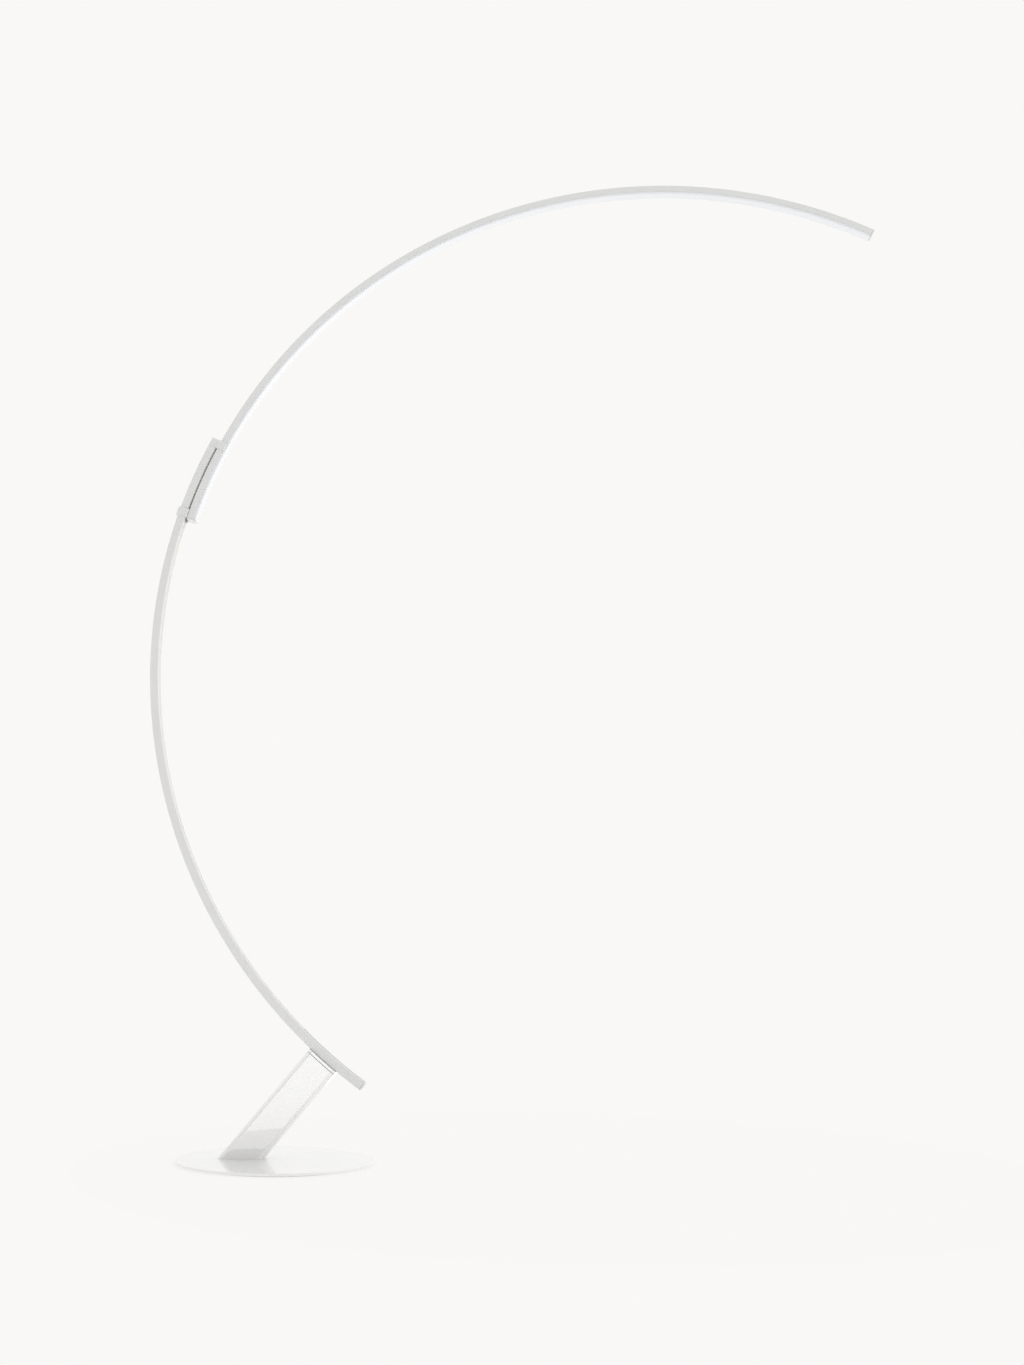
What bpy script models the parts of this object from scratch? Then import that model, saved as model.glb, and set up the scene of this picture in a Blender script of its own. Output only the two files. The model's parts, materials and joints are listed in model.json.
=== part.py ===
"""Arc floor lamp: a round base, a leaning post and two bent bars that slide along each other.

All sizes are in metres. The bars lie in the XZ plane and bend about one centre. An angle on the
bars is measured about that centre from +X towards +Z. The origin is the middle of the floor pad's
underside, on the floor.
"""
import math

import bmesh
import bpy
from mathutils import Matrix, Vector

# Driving dimensions: the base
BASE_DIAMETER = 0.400
BASE_THICKNESS = 0.005
BASE_BEVEL = 0.0008
PAD_THICKNESS = 0.002
PAD_INSET = 0.014

# Driving dimensions: the post
POST_WIDTH = 0.0722
POST_DEPTH = 0.044
POST_CORNER = 0.010
POST_WALL = 0.0025
POST_LENGTH = 0.2459
POST_LEAN = math.radians(51.14)
FOOT_X = -0.0698
FOOT_BLOCK_HEIGHT = 0.040
TOP_PLATE_THICKNESS = 0.006
REVEAL = 0.001
SADDLE_THICKNESS = 0.005

# Driving dimensions: the bars
LOWER_RADIUS = 1.117
BAR_DEPTH = 0.026
LOWER_THICKNESS = 0.0175
LOWER_WALL = 0.002
INNER_CORNER = 0.003
OUTER_CORNER = 0.0015
BAR_GAP = 0.004
CHANNEL_THICKNESS = 0.014
CHANNEL_WEB = 0.0022
CHANNEL_WALL = 0.0016
EDGE_CORNER = 0.0005
LOWER_SWEEP_UP = math.radians(75.14)
STUB_SWEEP = math.radians(4.86)
OVERLAP_SWEEP = math.radians(9.0)
LIGHT_SWEEP = math.radians(100.4)
END_CAP_THICKNESS = 0.003
SPIGOT_LENGTH = 0.014

# Driving dimensions: the conductor track in the lower bar's inner face
TRACK_WIDTH = 0.010
TRACK_THICKNESS = 0.0022
CONDUCTOR_WIDTH = 0.0012
CONDUCTOR_SPACING = 0.005
CONDUCTOR_THICKNESS = 0.0005
CONDUCTOR_RECESS = 0.0008

# Driving dimensions: the light
DIFFUSER_DROP = 0.0055
DIFFUSER_WALL = 0.0016
DIFFUSER_CORNER = 0.0035
DIFFUSER_TUCK = 0.004
BOARD_WIDTH = 0.016
BOARD_THICKNESS = 0.0012
BOARD_END_MARGIN = 0.022
LED_COUNT = 56
LED_SIZE = 0.0035
LED_THICKNESS = 0.0008

# Driving dimensions: the collars
COLLAR_LENGTH = 0.0185
COLLAR_WALL = 0.0018
COLLAR_SKIN = 0.0014
COLLAR_WEB = 0.0016
COLLAR_CORNER = 0.0015
INLAY_WIDTH = 0.0024
INLAY_THICKNESS = 0.0007
LIP_THICKNESS = 0.0018
BRIDGE_THICKNESS = 0.0016
LINER_WALL = 0.00095
LINER_SKIN = 0.0007
LINER_LIP = 0.001
HEEL_CAP_LENGTH = 0.0035
SHOE_WIDTH = 0.009
SHOE_LENGTH = 0.007

# Driving dimensions: fasteners, driver and inlet
BOLT_RADIUS = 0.003
BOLT_HEAD_RADIUS = 0.0052
BOLT_HEAD_HEIGHT = 0.003
BOLT_ENGAGEMENT = 0.012
FOOT_BOLT_SPACING = 0.044
SADDLE_BOLT_SPACING = 0.044
NUT_PLATE_THICKNESS = 0.004
NUT_PLATE_MARGIN = 0.008
SCREW_RADIUS = 0.0013
SCREW_HEAD_RADIUS = 0.0024
SCREW_HEAD_HEIGHT = 0.0012
SCREW_LENGTH = 0.006
COLLAR_SCREW_SPACING = 0.012
DRIVER_LENGTH = 0.120
DRIVER_SIDE_ROOM = 0.0146
DRIVER_FRONT_ROOM = 0.0144
DRIVER_CORNER = 0.002
DRIVER_TOP_MARGIN = 0.030
CARRIER_THICKNESS = 0.002
CARRIER_MARGIN = 0.006
INLET_RADIUS = 0.006
INLET_BORE = 0.0035
INLET_FLANGE_RADIUS = 0.0085
INLET_FLANGE_THICKNESS = 0.0025
INLET_HEIGHT = 0.055
INLET_LENGTH = 0.012
LEAD_RADIUS = 0.0015
LEAD_HOLE_RADIUS = 0.0027
LEAD_STATIONS = (0.010, 0.025, 0.045, 0.065)
LEAD_POINTS = 36

# Clearances
GAP = 0.0003
RUNNING = 0.0004
HOLE_CLEARANCE = 0.0004

# Fineness
SWEEP_STEP = math.radians(1.5)
CORNER_STEPS = 3
ROUND_SEGMENTS = 16
DISC_SEGMENTS = 96
CUT_MARGIN = 0.010

# Worked out from the driving dimensions
DISC_TOP = PAD_THICKNESS + GAP + BASE_THICKNESS
POST_AXIS = Vector((math.cos(POST_LEAN), 0.0, math.sin(POST_LEAN)))
FOOT = Vector((FOOT_X, 0.0, DISC_TOP))
POST_TOP = FOOT + POST_AXIS * POST_LENGTH
SADDLE_BASE = POST_TOP + POST_AXIS * REVEAL
CENTRE = SADDLE_BASE + POST_AXIS * (SADDLE_THICKNESS + GAP + LOWER_RADIUS)
POST_ANGLE = POST_LEAN + math.pi

DRIVER_WIDTH = POST_WIDTH - (POST_WALL + DRIVER_SIDE_ROOM) * 2
DRIVER_DEPTH = POST_DEPTH - (POST_WALL + GAP) * 2 - CARRIER_THICKNESS - DRIVER_FRONT_ROOM

HALF_DEPTH = BAR_DEPTH / 2
LOWER_INNER = LOWER_RADIUS - LOWER_THICKNESS
LIGHT_RADIUS = LOWER_INNER - BAR_GAP
CHANNEL_EDGE = LIGHT_RADIUS - CHANNEL_THICKNESS
WEB_FACE = LIGHT_RADIUS - CHANNEL_WEB
DIFFUSER_FACE = CHANNEL_EDGE - DIFFUSER_DROP
CHANNEL_INSIDE = HALF_DEPTH - CHANNEL_WALL
DIFFUSER_HALF = CHANNEL_INSIDE - GAP
COLLAR_HALF = HALF_DEPTH + RUNNING + LINER_WALL + GAP + COLLAR_WALL
COLLAR_POCKET = COLLAR_HALF - COLLAR_WALL
LINER_HALF = COLLAR_POCKET - GAP
LINER_POCKET = HALF_DEPTH + RUNNING
LOWER_SCREW_SEAT = WEB_FACE - GAP
LOWER_SCREW_LENGTH = CHANNEL_WEB + GAP + COLLAR_WEB
INLAY_HIGH = LOWER_INNER - GAP * 2
INLAY_LOW = INLAY_HIGH - INLAY_WIDTH
INLAY_FLOOR = COLLAR_HALF - INLAY_THICKNESS - GAP
GROOVE_HALF = TRACK_WIDTH / 2 + GAP
GROOVE_DEPTH = TRACK_THICKNESS + GAP
HOLLOW_FLOOR = LOWER_INNER + GROOVE_DEPTH + LOWER_WALL
HOLLOW_ROOF = LOWER_RADIUS - LOWER_WALL
HOLLOW_HALF = HALF_DEPTH - LOWER_WALL


def along(length):
    """Angle that a length takes on the lower bar's outer face."""
    return length / LOWER_RADIUS


COLLAR_SWEEP = along(COLLAR_LENGTH)
LOWER_COLLAR_PLUG = COLLAR_LENGTH / 2 - SCREW_HEAD_RADIUS - HOLE_CLEARANCE - GAP
LOWER_TOP = POST_ANGLE - LOWER_SWEEP_UP
LOWER_FOOT = POST_ANGLE + STUB_SWEEP
UPPER_COLLAR_TOP = LOWER_TOP - COLLAR_SWEEP
LIGHT_HEEL = LOWER_TOP + OVERLAP_SWEEP
LIGHT_TIP = LIGHT_HEEL - LIGHT_SWEEP
LOWER_COLLAR_FOOT = LIGHT_HEEL - along(GAP)
LOWER_COLLAR_TOP = LOWER_COLLAR_FOOT - COLLAR_SWEEP


def clear_scene():
    """Remove the objects that the file starts with."""
    for item in list(bpy.data.objects):
        bpy.data.objects.remove(item, do_unlink=True)


def new_collection(name):
    """Add a collection to the scene."""
    made = bpy.data.collections.new(name)
    bpy.context.scene.collection.children.link(made)
    return made


clear_scene()
LAMP = new_collection("arc_floor_lamp")
CUTTERS = new_collection("cutters")


def make_material(name, colour, roughness, metallic):
    """Principled material with one colour."""
    material = bpy.data.materials.new(name)
    material.use_nodes = True
    shader = material.node_tree.nodes["Principled BSDF"]
    shader.inputs["Base Color"].default_value = (*colour, 1.0)
    shader.inputs["Roughness"].default_value = roughness
    shader.inputs["Metallic"].default_value = metallic
    return material


WHITE_GLOSS = make_material("white_gloss", (0.86, 0.86, 0.85), 0.12, 0.0)
WHITE_SATIN = make_material("white_satin", (0.78, 0.78, 0.77), 0.38, 0.0)
BARE_ALUMINIUM = make_material("bare_aluminium", (0.70, 0.71, 0.72), 0.35, 1.0)
ZINC_STEEL = make_material("zinc_steel", (0.55, 0.56, 0.58), 0.30, 1.0)
COPPER = make_material("copper", (0.78, 0.45, 0.30), 0.28, 1.0)
OPAL = make_material("opal", (0.93, 0.93, 0.91), 0.35, 0.0)
NATURAL_NYLON = make_material("natural_nylon", (0.88, 0.87, 0.83), 0.45, 0.0)
BLACK_PLASTIC = make_material("black_plastic", (0.03, 0.03, 0.03), 0.45, 0.0)
BOARD_WHITE = make_material("board_white", (0.85, 0.86, 0.84), 0.50, 0.0)
FELT = make_material("felt", (0.10, 0.10, 0.10), 0.95, 0.0)


def place(name, mesh, material, collection=None):
    """Make an object of a finished mesh."""
    piece = bpy.data.objects.new(name, mesh)
    (collection or LAMP).objects.link(piece)
    if material:
        mesh.materials.append(material)
    return piece


def finish(bm, name, material, collection=None):
    """Turn a bmesh into an object with its faces pointing out."""
    bmesh.ops.recalc_face_normals(bm, faces=bm.faces[:])
    mesh = bpy.data.meshes.new(name)
    bm.to_mesh(mesh)
    bm.free()
    mesh.shade_smooth()
    mesh.set_sharp_from_angle(angle=math.radians(30))
    return place(name, mesh, material, collection)


def cutter(bm, name):
    """Turn a bmesh into a cutter, which isn't part of the lamp."""
    piece = finish(bm, name, None, CUTTERS)
    piece.hide_render = True
    piece.display_type = "WIRE"
    return piece


def boolean(piece, other, operation):
    """Cut a piece with another object, or join the two."""
    step = piece.modifiers.new(other.name, "BOOLEAN")
    step.operation = operation
    step.object = other


def cut(piece, *others):
    """Take each cutter's shape out of a piece."""
    for other in others:
        boolean(piece, other, "DIFFERENCE")


def rounded(corners):
    """Outline through corners, each given as (u, v, fillet radius)."""
    points = []
    count = len(corners)
    for index, (u, v, radius) in enumerate(corners):
        here = Vector((u, v))
        if radius <= 0:
            points.append(here)
            continue
        before = (Vector(corners[index - 1][:2]) - here).normalized()
        after = (Vector(corners[(index + 1) % count][:2]) - here).normalized()
        half_angle = before.angle(after) / 2
        bisector = (before + after).normalized()
        middle = here + bisector * (radius / math.sin(half_angle))
        start = here + before * (radius / math.tan(half_angle)) - middle
        turn = start.angle_signed(here + after * (radius / math.tan(half_angle)) - middle)
        for step in range(CORNER_STEPS + 1):
            spun = start.copy()
            spun.rotate(Matrix.Rotation(-turn * step / CORNER_STEPS, 2))
            points.append(middle + spun)
    return points


def box_outline(u_low, u_high, v_half, low_corner=0.0, high_corner=0.0):
    """Rectangle from u_low to u_high, symmetric in v, with its corners rounded."""
    return rounded([(u_low, -v_half, low_corner), (u_high, -v_half, high_corner),
                    (u_high, v_half, high_corner), (u_low, v_half, low_corner)])


def mirrored(half):
    """Whole outline from its half at v above 0, symmetric in v."""
    other = [(u, -v, radius) for u, v, radius in reversed(half)]
    return rounded(half + other)


def section(bm, outlines, to_space):
    """Fill the area between an outline and its holes, placed by to_space."""
    edges = []
    for outline in outlines:
        ring = [bm.verts.new(to_space(point)) for point in outline]
        edges += [bm.edges.new((ring[index - 1], ring[index])) for index in range(len(ring))]
    bmesh.ops.triangle_fill(bm, use_beauty=True, use_dissolve=False, edges=edges)
    return bm.verts[:] + bm.edges[:] + bm.faces[:]


def sweep(outlines, start, end):
    """Section in (radius, y) swept about the bars' centre between two angles."""
    bm = bmesh.new()
    radial = Vector((math.cos(start), 0.0, math.sin(start)))

    def to_space(point):
        return CENTRE + radial * point[0] + Vector((0.0, point[1], 0.0))

    geometry = section(bm, outlines, to_space)
    steps = max(1, round(abs(end - start) / SWEEP_STEP))
    bmesh.ops.spin(bm, geom=geometry, cent=CENTRE, axis=(0.0, 1.0, 0.0), angle=start - end, steps=steps)
    return bm


def extrude(outlines, base, across, direction, length):
    """Section in (across, y) pushed from base along a direction."""
    bm = bmesh.new()

    def to_space(point):
        return base + across * point[0] + Vector((0.0, point[1], 0.0))

    geometry = section(bm, outlines, to_space)
    pushed = bmesh.ops.extrude_face_region(bm, geom=geometry, use_keep_orig=True)
    moved = [item for item in pushed["geom"] if isinstance(item, bmesh.types.BMVert)]
    bmesh.ops.translate(bm, verts=moved, vec=direction * length)
    return bm


def turned_matrix(base, direction):
    """Matrix that takes +Z to a direction and the origin to base."""
    return Matrix.Translation(base) @ direction.to_track_quat("Z", "Y").to_matrix().to_4x4()


def add_cylinder(bm, base, direction, radius, length, segments=ROUND_SEGMENTS, end_radius=None):
    """Capped cylinder or cone from base along a direction."""
    middle = base + direction * (length / 2)
    bmesh.ops.create_cone(bm, cap_ends=True, segments=segments, radius1=radius,
                          radius2=radius if end_radius is None else end_radius, depth=length,
                          matrix=turned_matrix(middle, direction))


def cylinder(base, direction, radius, length, segments=ROUND_SEGMENTS):
    """New bmesh with one cylinder."""
    bm = bmesh.new()
    add_cylinder(bm, base, direction, radius, length, segments)
    return bm


def turned(base, direction, profile, closed=False, segments=ROUND_SEGMENTS):
    """Profile in (radius, height) turned about a direction from base."""
    bm = bmesh.new()
    points = [bm.verts.new((radius, 0.0, height)) for radius, height in profile]
    links = [bm.edges.new(pair_of) for pair_of in zip(points, points[1:])]
    if closed:
        links.append(bm.edges.new((points[-1], points[0])))
    bmesh.ops.spin(bm, geom=points + links, cent=(0.0, 0.0, 0.0), axis=(0.0, 0.0, 1.0),
                   angle=2 * math.pi, steps=segments)
    bmesh.ops.remove_doubles(bm, verts=bm.verts[:], dist=0.000001)
    bmesh.ops.transform(bm, matrix=turned_matrix(base, direction), verts=bm.verts[:])
    return bm


def apply_modifiers(piece):
    """Replace a piece's mesh with what its modifiers make of it."""
    bpy.context.view_layer.update()
    depsgraph = bpy.context.evaluated_depsgraph_get()
    mesh = bpy.data.meshes.new_from_object(piece.evaluated_get(depsgraph))
    piece.modifiers.clear()
    piece.data = mesh


def unite(piece, *bodies):
    """Join other bodies to a piece as one solid."""
    for index, bm in enumerate(bodies):
        boolean(piece, cutter(bm, f"{piece.name}_body_{index}"), "UNION")
    apply_modifiers(piece)


def post_point(height, sideways=0.0, depth=0.0):
    """Point at a height along the post's axis from its foot, and off the axis."""
    side = Vector((POST_AXIS.z, 0.0, -POST_AXIS.x))
    return FOOT + POST_AXIS * height + side * sideways + Vector((0.0, depth, 0.0))


POST_SIDE = Vector((POST_AXIS.z, 0.0, -POST_AXIS.x))
UP = Vector((0.0, 0.0, 1.0))
BACK = Vector((0.0, 1.0, 0.0))


def polar(radius, angle, depth=0.0):
    """Point at a radius and an angle about the bars' centre."""
    return CENTRE + Vector((radius * math.cos(angle), depth, radius * math.sin(angle)))


def outward(angle):
    """Direction away from the bars' centre at an angle."""
    return Vector((math.cos(angle), 0.0, math.sin(angle)))


def pair(spacing):
    """Two places, half a spacing to either side of the middle."""
    return (-spacing / 2, spacing / 2)


# The base

def make_floor_pad():
    """Soft sheet under the base plate."""
    radius = BASE_DIAMETER / 2 - PAD_INSET
    finish(cylinder(Vector((0.0, 0.0, 0.0)), UP, radius, PAD_THICKNESS, DISC_SEGMENTS), "floor_pad", FELT)


def foot_bolt_places():
    """Middles of the foot bolts on the base plate's underside."""
    underside = DISC_TOP - BASE_THICKNESS
    return [Vector((FOOT_X + offset, 0.0, underside)) for offset in pair(FOOT_BOLT_SPACING)]


def foot_bolt_cutter(name):
    """Holes and countersinks for the foot bolts."""
    bm = bmesh.new()
    radius = BOLT_RADIUS + HOLE_CLEARANCE
    for place_under in foot_bolt_places():
        add_cylinder(bm, place_under, UP, radius, BASE_THICKNESS + BOLT_ENGAGEMENT + GAP + CUT_MARGIN)
    return cutter(bm, name)


def foot_bolt_sinks():
    """Countersinks for the foot bolts' heads."""
    bm = bmesh.new()
    slope = (BOLT_HEAD_RADIUS - BOLT_RADIUS) / BOLT_HEAD_HEIGHT
    wide = BOLT_HEAD_RADIUS + HOLE_CLEARANCE + slope * CUT_MARGIN
    length = BOLT_HEAD_HEIGHT + CUT_MARGIN + GAP
    for place_under in foot_bolt_places():
        base = place_under - UP * CUT_MARGIN
        add_cylinder(bm, base, UP, wide, length, end_radius=wide - slope * length)
    return cutter(bm, "foot_bolt_sinks")


def make_base_plate(holes):
    """Round steel plate with a bevelled rim."""
    radius = BASE_DIAMETER / 2
    profile = [(0.0, 0.0), (radius - BASE_BEVEL, 0.0), (radius, BASE_BEVEL),
               (radius, BASE_THICKNESS - BASE_BEVEL), (radius - BASE_BEVEL, BASE_THICKNESS),
               (0.0, BASE_THICKNESS)]
    bottom = Vector((0.0, 0.0, DISC_TOP - BASE_THICKNESS))
    plate = finish(turned(bottom, UP, profile, segments=DISC_SEGMENTS), "base_plate", WHITE_GLOSS)
    cut(plate, holes, foot_bolt_sinks())
    return plate


def make_foot_bolts():
    """Countersunk bolts up through the base plate into the foot block."""
    length = BASE_THICKNESS + BOLT_ENGAGEMENT
    profile = [(0.0, 0.0), (BOLT_HEAD_RADIUS, 0.0), (BOLT_RADIUS, BOLT_HEAD_HEIGHT),
               (BOLT_RADIUS, length), (0.0, length)]
    for index, place_under in enumerate(foot_bolt_places()):
        finish(turned(place_under + UP * GAP, UP, profile), f"foot_bolt_{index + 1}", ZINC_STEEL)


# The post

def post_outline(inset=0.0):
    """Rounded rectangle of the post's section, or smaller by an inset."""
    corner = max(POST_CORNER - inset, EDGE_CORNER)
    half = POST_WIDTH / 2 - inset
    return box_outline(-half, half, POST_DEPTH / 2 - inset, corner, corner)


def below_disc():
    """Block that takes away what would reach into the base plate."""
    bm = bmesh.new()
    size = POST_LENGTH + POST_WIDTH + POST_DEPTH
    bmesh.ops.create_cube(bm, size=size, matrix=Matrix.Translation((FOOT_X, 0.0, DISC_TOP + GAP - size / 2)))
    return cutter(bm, "below_disc")


def post_start():
    """Length below the foot that the post starts at, before its bottom is cut level."""
    return POST_WIDTH / math.tan(POST_LEAN)


def make_post_shell(floor_cutter, inlet_hole):
    """Leaning tube, cut level at the bottom."""
    start = post_start()
    bm = extrude([post_outline(), post_outline(POST_WALL)], post_point(-start), POST_SIDE, POST_AXIS,
                 POST_LENGTH + start)
    shell = finish(bm, "post_shell", WHITE_GLOSS)
    cut(shell, floor_cutter, inlet_hole)
    return shell


def make_foot_block(floor_cutter, holes):
    """Solid block in the post's foot, which the foot bolts screw into."""
    start = post_start()
    bm = extrude([post_outline(POST_WALL + GAP)], post_point(-start), POST_SIDE, POST_AXIS,
                 FOOT_BLOCK_HEIGHT + start)
    block = finish(bm, "foot_block", BARE_ALUMINIUM)
    cut(block, floor_cutter, holes)
    return block


def lead_hole(name):
    """Round hole for the lead, from the top plate into the lower bar."""
    start = POST_LENGTH - TOP_PLATE_THICKNESS - CUT_MARGIN
    through = TOP_PLATE_THICKNESS + REVEAL + SADDLE_THICKNESS + LOWER_WALL
    length = through + 2 * CUT_MARGIN - NUT_PLATE_THICKNESS
    return cutter(cylinder(post_point(start), POST_AXIS, LEAD_HOLE_RADIUS, length), name)


def saddle_bolt_holes():
    """Holes for the saddle bolts, from the top plate through to the nut plate."""
    bm = bmesh.new()
    start = POST_LENGTH - TOP_PLATE_THICKNESS - CUT_MARGIN
    length = CUT_MARGIN + saddle_bolt_length() + GAP * 2
    for offset in pair(SADDLE_BOLT_SPACING):
        add_cylinder(bm, post_point(start, offset), POST_AXIS, BOLT_RADIUS + HOLE_CLEARANCE, length)
    return cutter(bm, "saddle_bolt_holes")


def saddle_bolt_length():
    """Length of a saddle bolt under its head."""
    return (TOP_PLATE_THICKNESS + REVEAL + SADDLE_THICKNESS + GAP + LOWER_WALL + GAP
            + NUT_PLATE_THICKNESS + 2 * GAP)


def make_top_plate(*holes):
    """Plate that closes the post's top and carries the saddle."""
    bm = extrude([post_outline(POST_WALL + GAP)], post_point(POST_LENGTH - TOP_PLATE_THICKNESS), POST_SIDE,
                 POST_AXIS, TOP_PLATE_THICKNESS)
    plate = finish(bm, "post_top_plate", BARE_ALUMINIUM)
    cut(plate, *holes)
    return plate


def make_saddle(*holes):
    """Pad of the post's own section, hollowed to the lower bar's outer face."""
    bm = extrude([post_outline()], SADDLE_BASE, POST_SIDE, POST_AXIS, SADDLE_THICKNESS + CUT_MARGIN)
    saddle = finish(bm, "saddle", WHITE_GLOSS)
    reach = 2 * along(POST_WIDTH)
    bar_space = sweep([box_outline(LOWER_RADIUS - 2 * CUT_MARGIN, LOWER_RADIUS + GAP, POST_DEPTH)],
                      POST_ANGLE - reach, POST_ANGLE + reach)
    cut(saddle, cutter(bar_space, "bar_space"), *holes)
    return saddle


def make_saddle_bolts():
    """Bolts from inside the post through the saddle into the nut plate."""
    length = BOLT_HEAD_HEIGHT + saddle_bolt_length()
    profile = [(0.0, 0.0), (BOLT_HEAD_RADIUS, 0.0), (BOLT_HEAD_RADIUS, BOLT_HEAD_HEIGHT),
               (BOLT_RADIUS, BOLT_HEAD_HEIGHT), (BOLT_RADIUS, length), (0.0, length)]
    start = POST_LENGTH - TOP_PLATE_THICKNESS - GAP - BOLT_HEAD_HEIGHT
    for index, offset in enumerate(pair(SADDLE_BOLT_SPACING)):
        bolt = turned(post_point(start, offset), POST_AXIS, profile)
        finish(bolt, f"saddle_bolt_{index + 1}", ZINC_STEEL)


def make_nut_plates(holes):
    """Plates inside the lower bar that the saddle bolts screw into, with room for the lead between."""
    reach = along(NUT_PLATE_MARGIN)
    roof = HOLLOW_ROOF - GAP
    outline = box_outline(roof - NUT_PLATE_THICKNESS, roof, HOLLOW_HALF - GAP)
    for index, offset in enumerate(pair(SADDLE_BOLT_SPACING)):
        middle = POST_ANGLE + along(offset)
        bm = sweep([outline], middle - reach, middle + reach)
        plate = finish(bm, f"nut_plate_{index + 1}", ZINC_STEEL)
        cut(plate, holes)


def driver_base():
    """Height along the post of the driver's lower end."""
    return POST_LENGTH - TOP_PLATE_THICKNESS - DRIVER_TOP_MARGIN - DRIVER_LENGTH


def driver_floor():
    """Depth of the face that the driver stands on."""
    return POST_DEPTH / 2 - POST_WALL - GAP - CARRIER_THICKNESS


def make_driver():
    """Light's power supply, a closed case inside the post."""
    half = DRIVER_WIDTH / 2
    middle = driver_floor() - GAP - DRIVER_DEPTH / 2
    outline = box_outline(-half, half, DRIVER_DEPTH / 2, DRIVER_CORNER, DRIVER_CORNER)
    bm = extrude([outline], post_point(driver_base(), 0.0, middle), POST_SIDE, POST_AXIS, DRIVER_LENGTH)
    finish(bm, "driver", BLACK_PLASTIC)


def make_driver_carrier():
    """Plate behind the driver, against the post's back wall."""
    half = DRIVER_WIDTH / 2 + CARRIER_MARGIN
    middle = driver_floor() + CARRIER_THICKNESS / 2
    outline = box_outline(-half, half, CARRIER_THICKNESS / 2)
    bm = extrude([outline], post_point(driver_base(), 0.0, middle), POST_SIDE, POST_AXIS, DRIVER_LENGTH)
    finish(bm, "driver_carrier", ZINC_STEEL)


def inlet_base():
    """Point on the post's back face where the supply cord would enter."""
    return post_point(INLET_HEIGHT, 0.0, POST_DEPTH / 2)


def inlet_opening():
    """Hole in the post's back wall for the inlet gland."""
    base = inlet_base() - BACK * INLET_LENGTH
    radius = INLET_RADIUS + HOLE_CLEARANCE
    return cutter(cylinder(base, BACK, radius, INLET_LENGTH + CUT_MARGIN), "inlet_opening")


def make_inlet_gland():
    """Flanged bush in the post's back wall."""
    neck = INLET_LENGTH / 2
    profile = [(INLET_BORE, 0.0), (INLET_RADIUS, 0.0), (INLET_RADIUS, neck),
               (INLET_FLANGE_RADIUS, neck), (INLET_FLANGE_RADIUS, neck + INLET_FLANGE_THICKNESS),
               (INLET_BORE, neck + INLET_FLANGE_THICKNESS)]
    base = inlet_base() + BACK * (GAP - neck)
    finish(turned(base, BACK, profile, closed=True), "inlet_gland", BLACK_PLASTIC)


# The lower bar

def lower_outline():
    """Lower bar's outside, with the track's groove in its inner face."""
    groove = LOWER_INNER + GROOVE_DEPTH
    return mirrored([(groove, GROOVE_HALF, 0.0), (LOWER_INNER, GROOVE_HALF, 0.0),
                     (LOWER_INNER, HALF_DEPTH, INNER_CORNER), (LOWER_RADIUS, HALF_DEPTH, OUTER_CORNER)])


def hollow_outline(clearance=0.0):
    """Lower bar's inside, or what fits in it."""
    return box_outline(HOLLOW_FLOOR + clearance, HOLLOW_ROOF - clearance, HOLLOW_HALF - clearance)


def upper_screw_places():
    """Angle and depths of the screws that hold the upper collar's spigot."""
    angle = LOWER_TOP + along(SPIGOT_LENGTH / 2)
    return [(angle, depth) for depth in pair(COLLAR_SCREW_SPACING)]


def upper_screw_seat():
    """Radius that the upper collar's screw heads seat on, in the lower bar's outer wall."""
    return LOWER_RADIUS - LOWER_WALL / 2


def make_radial_screws(name, places, seat_radius, inwards, under_head):
    """Cylinder-head screws that point towards or away from the centre."""
    length = SCREW_HEAD_HEIGHT + under_head
    profile = [(0.0, 0.0), (SCREW_HEAD_RADIUS, 0.0), (SCREW_HEAD_RADIUS, SCREW_HEAD_HEIGHT),
               (SCREW_RADIUS, SCREW_HEAD_HEIGHT), (SCREW_RADIUS, length), (0.0, length)]
    for index, (angle, depth) in enumerate(places):
        direction = outward(angle) * (-1 if inwards else 1)
        base = polar(seat_radius, angle, depth) - direction * SCREW_HEAD_HEIGHT
        finish(turned(base, direction, profile), f"{name}_{index + 1}", ZINC_STEEL)


def screw_holes(name, places, seat_radius, inwards, under_head):
    """Clearance holes for radial screws."""
    bm = bmesh.new()
    for angle, depth in places:
        direction = outward(angle) * (-1 if inwards else 1)
        seat = polar(seat_radius, angle, depth)
        add_cylinder(bm, seat - direction * CUT_MARGIN, direction, SCREW_RADIUS + HOLE_CLEARANCE,
                     CUT_MARGIN + under_head + GAP)
    return cutter(bm, name)


def screw_pockets(name, places, seat_radius, inwards):
    """Pockets for the radial screws' heads."""
    bm = bmesh.new()
    for angle, depth in places:
        direction = outward(angle) * (-1 if inwards else 1)
        seat = polar(seat_radius, angle, depth) + direction * GAP
        add_cylinder(bm, seat - direction * CUT_MARGIN, direction, SCREW_HEAD_RADIUS + HOLE_CLEARANCE,
                     CUT_MARGIN)
    return cutter(bm, name)


def make_lower_arc(*holes):
    """Hollow lower bar, from the stub past the post up to the upper collar."""
    bar = finish(sweep([lower_outline(), hollow_outline()], LOWER_TOP, LOWER_FOOT), "lower_arc", WHITE_SATIN)
    cut(bar, *holes)
    return bar


def track_end():
    """Angle at which the conductor track ends, where the lead comes up to it."""
    return POST_ANGLE - along(POST_WIDTH)


def track_start():
    """Angle at which the conductor track starts, below the upper collar."""
    return LOWER_TOP + along(LINER_LIP + GAP)


def conductor_outlines():
    """Sections of the two conductors."""
    low = LOWER_INNER + CONDUCTOR_RECESS
    high = low + CONDUCTOR_THICKNESS
    half = CONDUCTOR_WIDTH / 2
    return [[Vector((low, middle - half)), Vector((high, middle - half)),
             Vector((high, middle + half)), Vector((low, middle + half))]
            for middle in pair(CONDUCTOR_SPACING)]


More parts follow.
